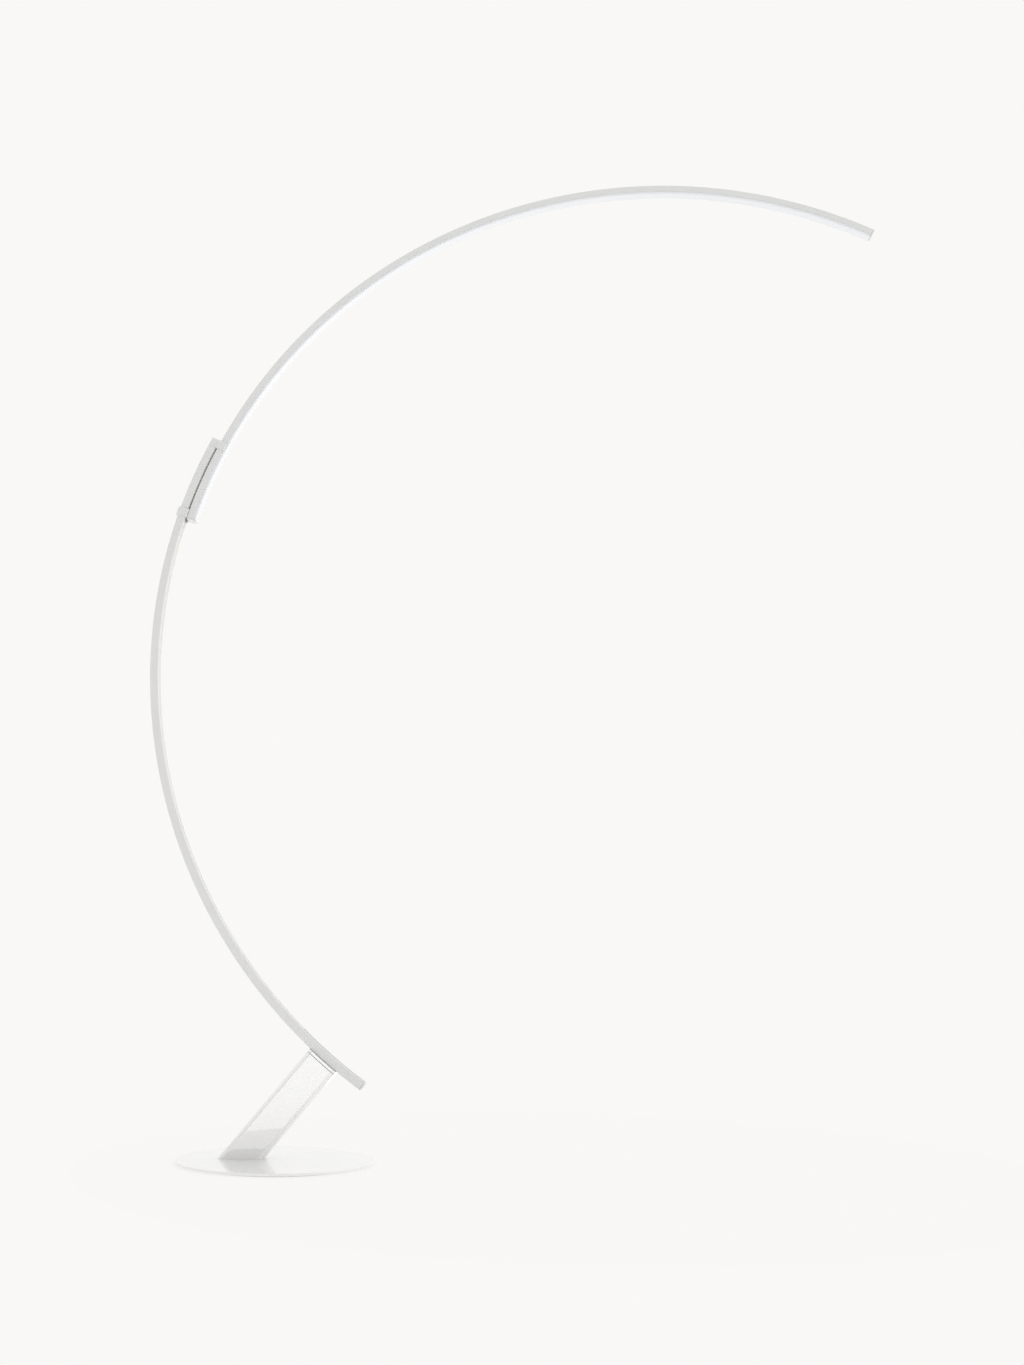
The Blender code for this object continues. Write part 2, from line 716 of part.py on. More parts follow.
def make_track():
    """Insulating strip with two sunk conductors in the lower bar's inner face."""
    low = LOWER_INNER
    high = LOWER_INNER + TRACK_THICKNESS
    half = TRACK_WIDTH / 2
    notch = CONDUCTOR_WIDTH / 2 + GAP
    floor = low + CONDUCTOR_RECESS + CONDUCTOR_THICKNESS + GAP
    near = CONDUCTOR_SPACING / 2 - notch
    far = CONDUCTOR_SPACING / 2 + notch
    outline = mirrored([(low, near, 0.0), (floor, near, 0.0), (floor, far, 0.0), (low, far, 0.0),
                        (low, half, 0.0), (high, half, 0.0)])
    finish(sweep([outline], track_start(), track_end()), "conductor_track", NATURAL_NYLON)
    for index, strip in enumerate(conductor_outlines()):
        finish(sweep([strip], track_start(), track_end()), f"conductor_{index + 1}", COPPER)


def make_stub_cap():
    """Plug in the lower bar's bottom end."""
    start = LOWER_FOOT + along(GAP)
    outline = box_outline(LOWER_INNER, LOWER_RADIUS, HALF_DEPTH, INNER_CORNER, OUTER_CORNER)
    cap = finish(sweep([outline], start, start + along(END_CAP_THICKNESS)), "stub_cap", WHITE_SATIN)
    spigot = sweep([hollow_outline(GAP)], LOWER_FOOT - along(SPIGOT_LENGTH),
                   start + along(END_CAP_THICKNESS / 2))
    unite(cap, spigot)


def inlay_cutter(name, start, end, low, high):
    """Recess in both sides of a collar for the liner's inlays."""
    recess = mirrored([(low, INLAY_FLOOR, 0.0), (low, 2 * COLLAR_HALF, 0.0), (high, 2 * COLLAR_HALF, 0.0),
                       (high, INLAY_FLOOR, 0.0)])
    half = len(recess) // 2
    margin = along(CUT_MARGIN)
    bm = sweep([recess[:half]], start - margin, end + margin)
    other = sweep([recess[half:]], start - margin, end + margin)
    return cutter(bm, f"{name}_front"), cutter(other, f"{name}_back")


def inlays(start, end):
    """Strips of a liner that lie in the sides of its collar."""
    floor = COLLAR_HALF - INLAY_THICKNESS
    return [sweep([[Vector((INLAY_LOW, side * floor)), Vector((INLAY_HIGH, side * floor)),
                    Vector((INLAY_HIGH, side * COLLAR_HALF)), Vector((INLAY_LOW, side * COLLAR_HALF))]],
                  start, end) for side in (-1, 1)]


def make_upper_collar(*holes):
    """Collar plugged into the lower bar's upper end, which holds the light bar by its edges."""
    lip = CHANNEL_EDGE - RUNNING
    mouth = CHANNEL_INSIDE
    bridge = LOWER_INNER - BRIDGE_THICKNESS
    outline = mirrored([(bridge, COLLAR_POCKET, 0.0), (lip, COLLAR_POCKET, 0.0), (lip, mouth, 0.0),
                        (lip - LIP_THICKNESS, mouth, 0.0), (lip - LIP_THICKNESS, COLLAR_HALF, COLLAR_CORNER),
                        (LOWER_INNER, COLLAR_HALF, 0.0), (LOWER_INNER, HALF_DEPTH, 0.0),
                        (LOWER_RADIUS, HALF_DEPTH, OUTER_CORNER)])
    end = LOWER_TOP - along(GAP)
    collar = finish(sweep([outline], UPPER_COLLAR_TOP, end), "upper_collar", WHITE_SATIN)
    unite(collar, sweep([hollow_outline(GAP)], UPPER_COLLAR_TOP + COLLAR_SWEEP / 2,
                        LOWER_TOP + along(SPIGOT_LENGTH)))
    recess = inlay_cutter("upper_recess", UPPER_COLLAR_TOP, end, INLAY_LOW - GAP, LOWER_INNER + GAP)
    cut(collar, *recess, *holes)


def make_upper_liner():
    """Nylon liner in the upper collar, which the light bar runs in."""
    roof = LOWER_INNER - BRIDGE_THICKNESS - GAP
    foot = CHANNEL_EDGE
    inner = LIGHT_RADIUS + RUNNING
    body = mirrored([(inner, LINER_POCKET, 0.0), (foot, LINER_POCKET, 0.0), (foot, LINER_HALF, 0.0),
                     (roof, LINER_HALF, 0.0)])
    flange = mirrored([(inner, LINER_POCKET, 0.0), (foot, LINER_POCKET, 0.0), (foot, COLLAR_HALF, 0.0),
                       (INLAY_HIGH, COLLAR_HALF, 0.0)])
    flange_start = LOWER_TOP
    flange_end = LOWER_TOP + along(LINER_LIP)
    middle = (flange_start + flange_end) / 2
    liner = finish(sweep([body], UPPER_COLLAR_TOP, middle), "upper_liner", NATURAL_NYLON)
    unite(liner, sweep([flange], flange_start, flange_end), *inlays(UPPER_COLLAR_TOP, middle))


def make_upper_collar_screws():
    """Screws through the lower bar's outer wall into the upper collar's spigot."""
    make_radial_screws("upper_collar_screw", upper_screw_places(), upper_screw_seat(), True, SCREW_LENGTH)


# The light bar

def channel_outline():
    """Light bar's channel, open towards the centre."""
    return mirrored([(WEB_FACE, CHANNEL_INSIDE, 0.0), (CHANNEL_EDGE, CHANNEL_INSIDE, 0.0),
                     (CHANNEL_EDGE, HALF_DEPTH, EDGE_CORNER), (LIGHT_RADIUS, HALF_DEPTH, OUTER_CORNER)])


def diffuser_outline():
    """Opal cover, tucked between the channel's walls."""
    top = CHANNEL_EDGE + DIFFUSER_TUCK
    inside = DIFFUSER_HALF - DIFFUSER_WALL
    return mirrored([(DIFFUSER_FACE + DIFFUSER_WALL, inside, DIFFUSER_CORNER - DIFFUSER_WALL),
                     (top, inside, 0.0), (top, DIFFUSER_HALF, 0.0),
                     (DIFFUSER_FACE, DIFFUSER_HALF, DIFFUSER_CORNER)])


def lower_screw_places():
    """Angle and depths of the screws that hold the lower collar."""
    angle = (LOWER_COLLAR_TOP + LOWER_COLLAR_FOOT) / 2
    return [(angle, depth) for depth in pair(COLLAR_SCREW_SPACING)]


def make_light_arc(*holes):
    """Channel of the light bar."""
    channel = finish(sweep([channel_outline()], LIGHT_TIP, LIGHT_HEEL), "light_arc", WHITE_SATIN)
    cut(channel, *holes)


def make_diffuser():
    """Opal cover along the whole light bar."""
    finish(sweep([diffuser_outline()], LIGHT_TIP, LIGHT_HEEL), "diffuser", OPAL)


def board_limits():
    """Angles between which the circuit board runs."""
    margin = along(BOARD_END_MARGIN)
    return LIGHT_TIP + margin, LIGHT_HEEL - margin


def make_board():
    """Circuit board on the channel's web, with a row of LEDs."""
    start, end = board_limits()
    top = WEB_FACE - GAP
    face = top - BOARD_THICKNESS
    board = finish(sweep([box_outline(face, top, BOARD_WIDTH / 2)], start, end), "led_board", BOARD_WHITE)
    leds = bmesh.new()
    height = LED_THICKNESS + BOARD_THICKNESS / 2
    size = Matrix.Diagonal((LED_SIZE, LED_SIZE, height, 1.0))
    for index in range(LED_COUNT):
        angle = start + (end - start) * (index + 0.5) / LED_COUNT
        centre = polar(face - LED_THICKNESS + height / 2, angle)
        bmesh.ops.create_cube(leds, size=1.0, matrix=turned_matrix(centre, outward(angle)) @ size)
    unite(board, leds)


def bar_end_outline():
    """Whole section of the light bar with its cover."""
    return mirrored([(DIFFUSER_FACE, DIFFUSER_HALF, DIFFUSER_CORNER), (CHANNEL_EDGE, DIFFUSER_HALF, 0.0),
                     (CHANNEL_EDGE, HALF_DEPTH, EDGE_CORNER), (LIGHT_RADIUS, HALF_DEPTH, OUTER_CORNER)])


def channel_plug(start, end):
    """Spigot that fits in the channel above the cover."""
    low = CHANNEL_EDGE + DIFFUSER_TUCK + GAP
    return sweep([box_outline(low, WEB_FACE - GAP, CHANNEL_INSIDE - GAP)], start, end)


def make_tip_cap():
    """Cap on the light bar's free end."""
    end = LIGHT_TIP - along(GAP)
    cap = finish(sweep([bar_end_outline()], end - along(END_CAP_THICKNESS), end), "tip_cap", WHITE_SATIN)
    unite(cap, channel_plug(end - along(END_CAP_THICKNESS / 2), LIGHT_TIP + along(SPIGOT_LENGTH)))


def make_heel_cap():
    """Cap on the light bar's sliding end."""
    start = LIGHT_HEEL + along(GAP)
    length = along(HEEL_CAP_LENGTH)
    cap = finish(sweep([bar_end_outline()], start, start + length), "heel_cap", WHITE_SATIN)
    unite(cap, channel_plug(LIGHT_HEEL - along(LOWER_COLLAR_PLUG), start + length / 2))


def make_lower_collar(*holes):
    """Ring round the lower bar, on a web that is screwed to the light bar's heel."""
    base = LIGHT_RADIUS + GAP
    floor = base + COLLAR_WEB
    roof = LOWER_RADIUS + RUNNING + LINER_SKIN + GAP
    outside = box_outline(base, roof + COLLAR_SKIN, COLLAR_HALF, 0.0, COLLAR_CORNER)
    hole = box_outline(floor, roof, COLLAR_POCKET)
    bm = sweep([outside, hole], LOWER_COLLAR_TOP, LOWER_COLLAR_FOOT)
    collar = finish(bm, "lower_collar", WHITE_SATIN)
    recess = inlay_cutter("lower_recess", LOWER_COLLAR_TOP, LOWER_COLLAR_FOOT, base - GAP, INLAY_HIGH + GAP)
    cut(collar, *recess, *holes)


def make_lower_liner():
    """Nylon ring in the lower collar, which runs along the lower bar."""
    low = LIGHT_RADIUS + GAP + COLLAR_WEB + GAP
    high = LOWER_RADIUS + RUNNING + LINER_SKIN
    hole = box_outline(LOWER_INNER - RUNNING, LOWER_RADIUS + RUNNING, LINER_POCKET)
    start = LOWER_COLLAR_FOOT + along(GAP)
    end = start + along(LINER_LIP)
    middle = (start + end) / 2
    ring = sweep([box_outline(low, high, LINER_HALF), hole], LOWER_COLLAR_TOP, middle)
    liner = finish(ring, "lower_liner", NATURAL_NYLON)
    flange = box_outline(INLAY_LOW, high + GAP + COLLAR_SKIN, COLLAR_HALF, 0.0, COLLAR_CORNER)
    unite(liner, sweep([flange, hole], start, end), *inlays(LOWER_COLLAR_TOP, middle))


def make_lower_collar_screws():
    """Screws from inside the channel through its web into the lower collar."""
    make_radial_screws("lower_collar_screw", lower_screw_places(), LOWER_SCREW_SEAT, False,
                       LOWER_SCREW_LENGTH)


def make_contact_shoe():
    """Brush block on the heel cap, which runs along the conductors."""
    start = LOWER_COLLAR_FOOT + along(2 * GAP + LINER_LIP)
    low = LIGHT_RADIUS + GAP
    high = LOWER_INNER - RUNNING
    finish(sweep([box_outline(low, high, SHOE_WIDTH / 2)], start, start + along(SHOE_LENGTH)),
           "contact_shoe",
           BLACK_PLASTIC)


def smooth_route(points, count):
    """Evenly numbered points on a smooth curve through the given ones."""
    route = []
    spans = len(points) - 1
    for step in range(count + 1):
        place_on = min(step * spans / count, spans - 1e-9)
        index = int(place_on)
        t = place_on - index
        p1 = points[index]
        p2 = points[index + 1]
        p0 = points[index - 1] if index else p1 * 2 - p2
        p3 = points[index + 2] if index + 2 <= spans else p2 * 2 - p1
        route.append(0.5 * (2 * p1 + (p2 - p0) * t + (2 * p0 - 5 * p1 + 4 * p2 - p3) * t ** 2
                            + (3 * p1 - p0 - 3 * p2 + p3) * t ** 3))
    return route


def make_lead():
    """Low-voltage lead from the driver up into the lower bar and along to the track."""
    depth = driver_floor() - GAP - DRIVER_DEPTH / 2
    driver_end = driver_base() + DRIVER_LENGTH + GAP
    middle = (HOLLOW_FLOOR + HOLLOW_ROOF - NUT_PLATE_THICKNESS) / 2
    points = [post_point(driver_end, 0.0, depth),
              post_point((driver_end + POST_LENGTH - TOP_PLATE_THICKNESS) / 2, 0.0, depth / 2),
              post_point(POST_LENGTH - TOP_PLATE_THICKNESS), post_point(POST_LENGTH),
              polar(LOWER_RADIUS + LOWER_WALL, POST_ANGLE),
              polar(HOLLOW_ROOF - NUT_PLATE_THICKNESS / 2, POST_ANGLE)]
    points += [polar(middle, POST_ANGLE - along(distance)) for distance in LEAD_STATIONS]
    curve = bpy.data.curves.new("supply_lead", "CURVE")
    curve.dimensions = "3D"
    curve.bevel_depth = LEAD_RADIUS
    curve.bevel_resolution = 1
    curve.use_fill_caps = True
    route = smooth_route(points, LEAD_POINTS)
    spline = curve.splines.new("POLY")
    spline.points.add(len(route) - 1)
    for point, position in zip(spline.points, route):
        point.co = (*position, 1.0)
    lead = bpy.data.objects.new("supply_lead", curve)
    curve.materials.append(BLACK_PLASTIC)
    LAMP.objects.link(lead)


def build():
    """Make the whole lamp from the floor up."""
    floor_cutter = below_disc()
    foot_holes = foot_bolt_cutter("foot_bolt_holes")
    bolt_holes = saddle_bolt_holes()
    lead_way = lead_hole("lead_way")
    upper_holes = screw_holes("upper_holes", upper_screw_places(), upper_screw_seat(), True, SCREW_LENGTH)
    upper_pockets = screw_pockets("upper_pockets", upper_screw_places(), upper_screw_seat(), True)
    lower_holes = screw_holes("lower_holes", lower_screw_places(), LOWER_SCREW_SEAT, False,
                              LOWER_SCREW_LENGTH)
    make_floor_pad()
    make_base_plate(foot_holes)
    make_foot_bolts()
    make_post_shell(floor_cutter, inlet_opening())
    make_foot_block(floor_cutter, foot_holes)
    make_top_plate(bolt_holes, lead_way)
    make_saddle(bolt_holes, lead_way)
    make_saddle_bolts()
    make_nut_plates(bolt_holes)
    make_driver()
    make_driver_carrier()
    make_inlet_gland()
    make_lead()
    make_lower_arc(bolt_holes, lead_way, upper_holes, upper_pockets)
    make_track()
    make_stub_cap()
    make_upper_collar(upper_holes)
    make_upper_liner()
    make_upper_collar_screws()
    make_light_arc(lower_holes)
    make_diffuser()
    make_board()
    make_tip_cap()
    make_heel_cap()
    make_lower_collar(lower_holes)
    make_lower_liner()
    make_lower_collar_screws()
    make_contact_shoe()


build()
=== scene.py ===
"""Looks of an arc floor lamp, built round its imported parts.

Two bent bars slide along each other about one centre, above a leaning post on a round base. All
sizes are in metres and angles in degrees. An angle on a bar is measured about the bars' centre from
+X towards +Z.
"""
import json
import logging
import math
from collections.abc import Callable, Sequence
from dataclasses import dataclass, field
from enum import Enum

import bpy
from mathutils import Matrix, Vector


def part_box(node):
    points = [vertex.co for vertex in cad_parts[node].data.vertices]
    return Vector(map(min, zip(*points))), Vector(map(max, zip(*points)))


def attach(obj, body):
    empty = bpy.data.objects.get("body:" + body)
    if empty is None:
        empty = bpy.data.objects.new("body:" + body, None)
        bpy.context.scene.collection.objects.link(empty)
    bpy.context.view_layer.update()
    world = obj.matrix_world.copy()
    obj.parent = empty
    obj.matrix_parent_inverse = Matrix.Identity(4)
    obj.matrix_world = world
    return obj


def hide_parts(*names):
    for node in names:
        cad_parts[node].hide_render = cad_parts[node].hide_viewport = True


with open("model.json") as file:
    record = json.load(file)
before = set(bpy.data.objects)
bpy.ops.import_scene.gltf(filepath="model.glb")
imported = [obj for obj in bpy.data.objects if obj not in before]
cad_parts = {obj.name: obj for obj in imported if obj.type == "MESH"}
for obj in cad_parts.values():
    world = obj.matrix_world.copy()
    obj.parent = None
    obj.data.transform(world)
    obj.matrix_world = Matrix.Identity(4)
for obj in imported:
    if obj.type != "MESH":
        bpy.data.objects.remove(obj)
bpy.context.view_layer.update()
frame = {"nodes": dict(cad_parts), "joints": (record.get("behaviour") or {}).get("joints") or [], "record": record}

LOG = logging.getLogger("arc_floor_lamp")

GAP = 0.0003
RUNNING = 0.0004
SLACK = GAP / 5
CORNER_SLACK = GAP / 10
WELD = 0.000005
COLLAR_FINENESS = 0.25
CAP_FINENESS = 0.1
UP = Vector((0.0, 0.0, 1.0))
BACK = Vector((0.0, 1.0, 0.0))
CENTRE = Vector(frame["joints"][0]["pos_m"])

Colour = tuple[float, float, float]
Keep = Callable[[float, float], bool]
Material = bpy.types.Material
Piece = bpy.types.Object
Socket = bpy.types.NodeSocket


class Body(Enum):
    """Bodies that a piece can ride on."""

    STAND = "stand"
    LIGHT_ARM = "light_arm"


class Side(Enum):
    """Which of a section's corners are rounded."""

    INNER = "inner"
    OUTER = "outer"


# Materials


class NodeWork:
    """Node tree with short ways to add and join nodes."""

    def __init__(self, owner: Material | bpy.types.World) -> None:
        """Switch on a material's or a world's nodes.

        Args:
            owner: What the tree belongs to.
        """
        owner.use_nodes = True
        self.tree = owner.node_tree

    def add(self, kind: str, **settings: object) -> bpy.types.Node:
        """Add a node.

        Args:
            kind: Blender's name of the node type.
            **settings: Attributes of the node.

        Returns:
            The new node.
        """
        node = self.tree.nodes.new(kind)
        for key, value in settings.items():
            setattr(node, key, value)
        return node

    def join(self, source: object, target: Socket) -> None:
        """Join a socket to another, or give that other a fixed value.

        Args:
            source: A socket, or a number.
            target: Socket that takes it.
        """
        if isinstance(source, Socket):
            self.tree.links.new(source, target)
        else:
            target.default_value = source

    def math(self, operation: str, first: object, second: object = 0.0) -> Socket:
        """Add a Math node.

        Args:
            operation: The node's operation.
            first: First input, a socket or a number.
            second: Second input, a socket or a number.

        Returns:
            The node's output.
        """
        node = self.add("ShaderNodeMath", operation=operation)
        for socket, value in zip(node.inputs, (first, second)):
            self.join(value, socket)
        return node.outputs[0]

    def spread(self, value: Socket, low: float, high: float,
               start: float = 0.3, end: float = 0.7, shape: str = "LINEAR") -> Socket:
        """Map a value between two limits.

        Args:
            value: Socket to map.
            low: Result at start.
            high: Result at end.
            start: Value that gives low.
            end: Value that gives high.
            shape: The node's interpolation type.

        Returns:
            Mapped socket.
        """
        node = self.add("ShaderNodeMapRange", interpolation_type=shape)
        for name, number in (("From Min", start), ("From Max", end), ("To Min", low), ("To Max", high)):
            node.inputs[name].default_value = number
        self.join(value, node.inputs["Value"])
        return node.outputs["Result"]

    def glow(self, kind: str, colour: Colour, strength: object) -> Socket:
        """Add a node that sends out light.

        Args:
            kind: ShaderNodeEmission or ShaderNodeBackground.
            colour: Its colour.
            strength: A number or a socket.

        Returns:
            The node's output.
        """
        node = self.add(kind)
        node.inputs["Color"].default_value = (*colour, 1.0)
        self.join(strength, node.inputs["Strength"])
        return node.outputs[0]

    def blend_out(self, kind: str, share: object, first: Socket, second: Socket) -> None:
        """Mix two shaders into the tree's output.

        Args:
            kind: Type of the output node.
            share: Share of the second shader, a number or a socket.
            first: Shader at 0.
            second: Shader at 1.
        """
        mix = self.add("ShaderNodeMixShader")
        for socket, value in zip(mix.inputs, (share, first, second)):
            self.join(value, socket)
        self.join(mix.outputs[0], self.add(kind).inputs["Surface"])


class NodeSheet(NodeWork):
    """Nodes of one material round its main shader."""

    def __init__(self, name: str) -> None:
        """Start a material.

        Args:
            name: Name of the material.
        """
        self.material = bpy.data.materials.new(name)
        super().__init__(self.material)
        self.shader = self.tree.nodes["Principled BSDF"]
        self.place = self.add("ShaderNodeTexCoord").outputs["Object"]

    def along_bar(self, stretch: float) -> Socket:
        """Coordinates that follow a bar: radius, depth, and the way along it.

        Args:
            stretch: Share of the real length that is kept along the bar.

        Returns:
            Vector socket in metres.
        """
        parts = self.add("ShaderNodeSeparateXYZ")
        self.join(self.place, parts.inputs[0])
        x = self.math("SUBTRACT", parts.outputs[0], CENTRE.x)
        z = self.math("SUBTRACT", parts.outputs[2], CENTRE.z)
        squares = self.math("ADD", self.math("MULTIPLY", x, x), self.math("MULTIPLY", z, z))
        radius = self.math("SQRT", squares)
        angle = self.math("ARCTAN2", z, x)
        both = self.add("ShaderNodeCombineXYZ")
        self.join(radius, both.inputs[0])
        self.join(parts.outputs[1], both.inputs[1])
        self.join(self.math("MULTIPLY", angle, stretch), both.inputs[2])
        return both.outputs[0]

    def noise(self, vector: Socket, size: float, detail: float = 3.0, roughness: float = 0.5) -> Socket:
        """Noise of a given grain.

        Args:
            vector: Coordinates in metres.
            size: Size of the grain in metres.
            detail: Octaves of finer grain.
            roughness: How strong the finer grain is.

        Returns:
            Socket from 0 to 1.
        """
        node = self.add("ShaderNodeTexNoise")
        node.inputs["Scale"].default_value = 1.0 / size
        node.inputs["Detail"].default_value = detail
        node.inputs["Roughness"].default_value = roughness
        self.join(vector, node.inputs["Vector"])
        return node.outputs["Fac"]

    def tone(self, factor: Socket, colour: Colour, low: float, high: float) -> None:
        """Make the base colour a little darker or lighter from place to place.

        Args:
            factor: Noise that chooses the tone.
            colour: The colour.
            low: What the colour is multiplied by where the noise is low.
            high: The same where the noise is high.
        """
        node = self.add("ShaderNodeMix", data_type="RGBA")
        self.join(self.spread(factor, 0.0, 1.0), node.inputs["Factor"])
        for name, share in (("A", low), ("B", high)):
            node.inputs[name].default_value = (*(channel * share for channel in colour), 1.0)
        self.join(node.outputs["Result"], self.shader.inputs["Base Color"])

    def vary(self, target: str, factor: Socket, low: float, high: float) -> None:
        """Let one of the shader's numbers follow a noise between two values."""
        self.join(self.spread(factor, low, high), self.shader.inputs[target])

    def bump(self, heights: Sequence[tuple[Socket, float]], *targets: str) -> None:
        """Bumps laid over each other into the shader's normals.

        Args:
            heights: Height socket and depth in metres of each layer.
            *targets: Names of the shader's sockets that take the normal.
        """
        last = None
        for height, depth in heights:
            node = self.add("ShaderNodeBump")
            node.inputs["Distance"].default_value = depth
            self.join(height, node.inputs["Height"])
            if last is not None:
                self.join(last, node.inputs["Normal"])
            last = node.outputs["Normal"]
        for target in targets:
            self.join(last, self.shader.inputs[target])

    def set(self, **values: object) -> None:
        """Set the shader's sockets, written with _ for a space."""
        for key, value in values.items():
            self.shader.inputs[key.replace("_", " ")].default_value = value


@dataclass(frozen=True)
class Look:
    """A finish that can be made into a material."""

    name: str
    colour: Colour

    def paint(self, sheet: NodeSheet) -> None:
        """Lay the finish out on a sheet."""

    def material(self) -> Material:
        """Return the material."""
        sheet = NodeSheet(self.name)
        self.paint(sheet)
        return sheet.material


@dataclass(frozen=True)
class GlossLacquer(Look):
    """White gloss lacquer over steel, with a faint orange peel and wiped haze."""

    name: str = "gloss_lacquer"
    colour: Colour = (0.895, 0.895, 0.89)
    peel: float = 0.0035

    def paint(self, sheet: NodeSheet) -> None:
        """Lay the finish out on a sheet."""
        cloud = sheet.noise(sheet.place, 0.06, 2.0)
        haze = sheet.noise(sheet.place, 0.02, 5.0, 0.65)
        grain = sheet.noise(sheet.place, 0.0006, 2.0)
        peel = sheet.noise(sheet.place, self.peel, 1.0)
        sheet.tone(cloud, self.colour, 0.985, 1.01)
        sheet.vary("Coat Roughness", haze, 0.001, 0.008)
        sheet.bump([(peel, 0.000006), (grain, 0.000001)], "Normal")
        sheet.bump([(peel, 0.0000004)], "Coat Normal")
        sheet.set(Roughness=0.35, Specular_IOR_Level=0.1, Coat_Weight=1.0, Coat_IOR=2.7)


@dataclass(frozen=True)
class SatinCoat(Look):
    """Satin coat on extruded aluminium, with die lines along the bar under a fine grain."""

    roughness: float

    def paint(self, sheet: NodeSheet) -> None:
        """Lay the finish out on a sheet."""
        along = sheet.along_bar(0.01)
        lines = sheet.noise(along, 0.0009, 3.0, 0.6)
        grain = sheet.noise(sheet.place, 0.0005, 3.0, 0.6)
        cloud = sheet.noise(sheet.place, 0.05, 3.0)
        sheet.tone(cloud, self.colour, 0.98, 1.015)
        sheet.vary("Roughness", grain, self.roughness * 0.85, self.roughness * 1.15)
        sheet.bump([(lines, 0.000005), (grain, 0.000002)], "Normal")
        sheet.set(Specular_IOR_Level=0.45)


@dataclass(frozen=True)
class OpalPlastic(Look):
    """Frosted opal cover with faint flow lines along the bar."""

    name: str = "opal_plastic"
    colour: Colour = (0.84, 0.85, 0.875)

    def paint(self, sheet: NodeSheet) -> None:
        """Lay the finish out on a sheet."""
        frost = sheet.noise(sheet.place, 0.0004, 2.0, 0.7)
        flow = sheet.noise(sheet.along_bar(0.05), 0.004, 2.0)
        sheet.tone(flow, self.colour, 0.985, 1.01)
        sheet.vary("Roughness", frost, 0.34, 0.46)
        sheet.bump([(frost, 0.000005)], "Normal")
        sheet.set(Specular_IOR_Level=0.4, Coat_Weight=0.3, Coat_Roughness=0.3)


@dataclass(frozen=True)
class MouldedPlastic(Look):
    """Moulded plastic with a fine spark-eroded texture and faint flow marks."""

    roughness: float
    texture: float = 0.0007

    def paint(self, sheet: NodeSheet) -> None:
        """Lay the finish out on a sheet."""
        texture = sheet.noise(sheet.place, self.texture, 3.0, 0.6)
        flow = sheet.noise(sheet.place, 0.008, 2.0)
        sheet.tone(flow, self.colour, 0.93, 1.05)
        sheet.vary("Roughness", texture, self.roughness * 0.85, self.roughness * 1.15)
        sheet.bump([(texture, 0.00003)], "Normal")


@dataclass(frozen=True)
class WorkedMetal(Look):
    """Bare or plated metal with tool marks and slight tarnish."""

    roughness: float
    mark: float = 0.0004

    def paint(self, sheet: NodeSheet) -> None:
        """Lay the finish out on a sheet."""
        marks = sheet.noise(sheet.place, self.mark, 4.0, 0.65)
        tarnish = sheet.noise(sheet.place, 0.006, 3.0)
        sheet.tone(tarnish, self.colour, 0.88, 1.04)
        sheet.vary("Roughness", marks, self.roughness * 0.8, self.roughness * 1.25)
        sheet.bump([(marks, 0.00001)], "Normal")
        sheet.set(Metallic=1.0)


@dataclass(frozen=True)
class Felt(Look):
    """Pressed felt under the base."""

    name: str = "felt_pad"
    colour: Colour = (0.10, 0.10, 0.10)

    def paint(self, sheet: NodeSheet) -> None:
        """Lay the finish out on a sheet."""
        fibres = sheet.noise(sheet.place, 0.0009, 6.0, 0.75)
        sheet.tone(fibres, self.colour, 0.7, 1.5)
        sheet.bump([(fibres, 0.0003)], "Normal")
        sheet.set(Roughness=0.95, Sheen_Weight=0.3)


def mixed_finishes() -> dict[str, Material]:
    """Make all the lamp's materials.

    Returns:
        The materials by the record's slots, and one more for the contact shoe.
    """
    looks = {
        "white_gloss": GlossLacquer(),
        "white_satin": SatinCoat("satin_coat", (0.755, 0.76, 0.755), 0.42),
        "opal": OpalPlastic(),
        "natural_nylon": MouldedPlastic("nylon", (0.86, 0.85, 0.81), 0.5),
        "black_plastic": MouldedPlastic("black_plastic", (0.03, 0.03, 0.03), 0.45),
        "grey_plastic": MouldedPlastic("grey_plastic", (0.30, 0.30, 0.31), 0.45),
        "zinc_steel": WorkedMetal("zinc_steel", (0.60, 0.61, 0.63), 0.30),
        "bare_aluminium": WorkedMetal("bare_aluminium", (0.72, 0.73, 0.74), 0.35),
        "copper": WorkedMetal("copper", (0.78, 0.46, 0.32), 0.28),
        "board_white": MouldedPlastic("board_laminate", (0.82, 0.84, 0.82), 0.4),
        "felt": Felt(),
    }
    return {slot: look.material() for slot, look in looks.items()}


# Ways of working


def deselect() -> None:
    """Leave nothing selected."""
    if bpy.context.object and bpy.context.object.mode != "OBJECT":
        bpy.ops.object.mode_set(mode="OBJECT")
    for item in bpy.context.selected_objects:
        item.select_set(False)


def active() -> Piece:
    """Return the object being worked on."""
    return bpy.context.view_layer.objects.active


def close_edit() -> None:
    """Go back to object mode."""
    bpy.ops.object.mode_set(mode="OBJECT")


def take_all(kind: str = "FACE") -> None:
    """Open the active piece and select all of it.

    Args:
        kind: "VERT", "EDGE" or "FACE".
    """
    bpy.ops.object.mode_set(mode="EDIT")
    bpy.ops.mesh.select_mode(type=kind)
    bpy.ops.mesh.select_all(action="SELECT")


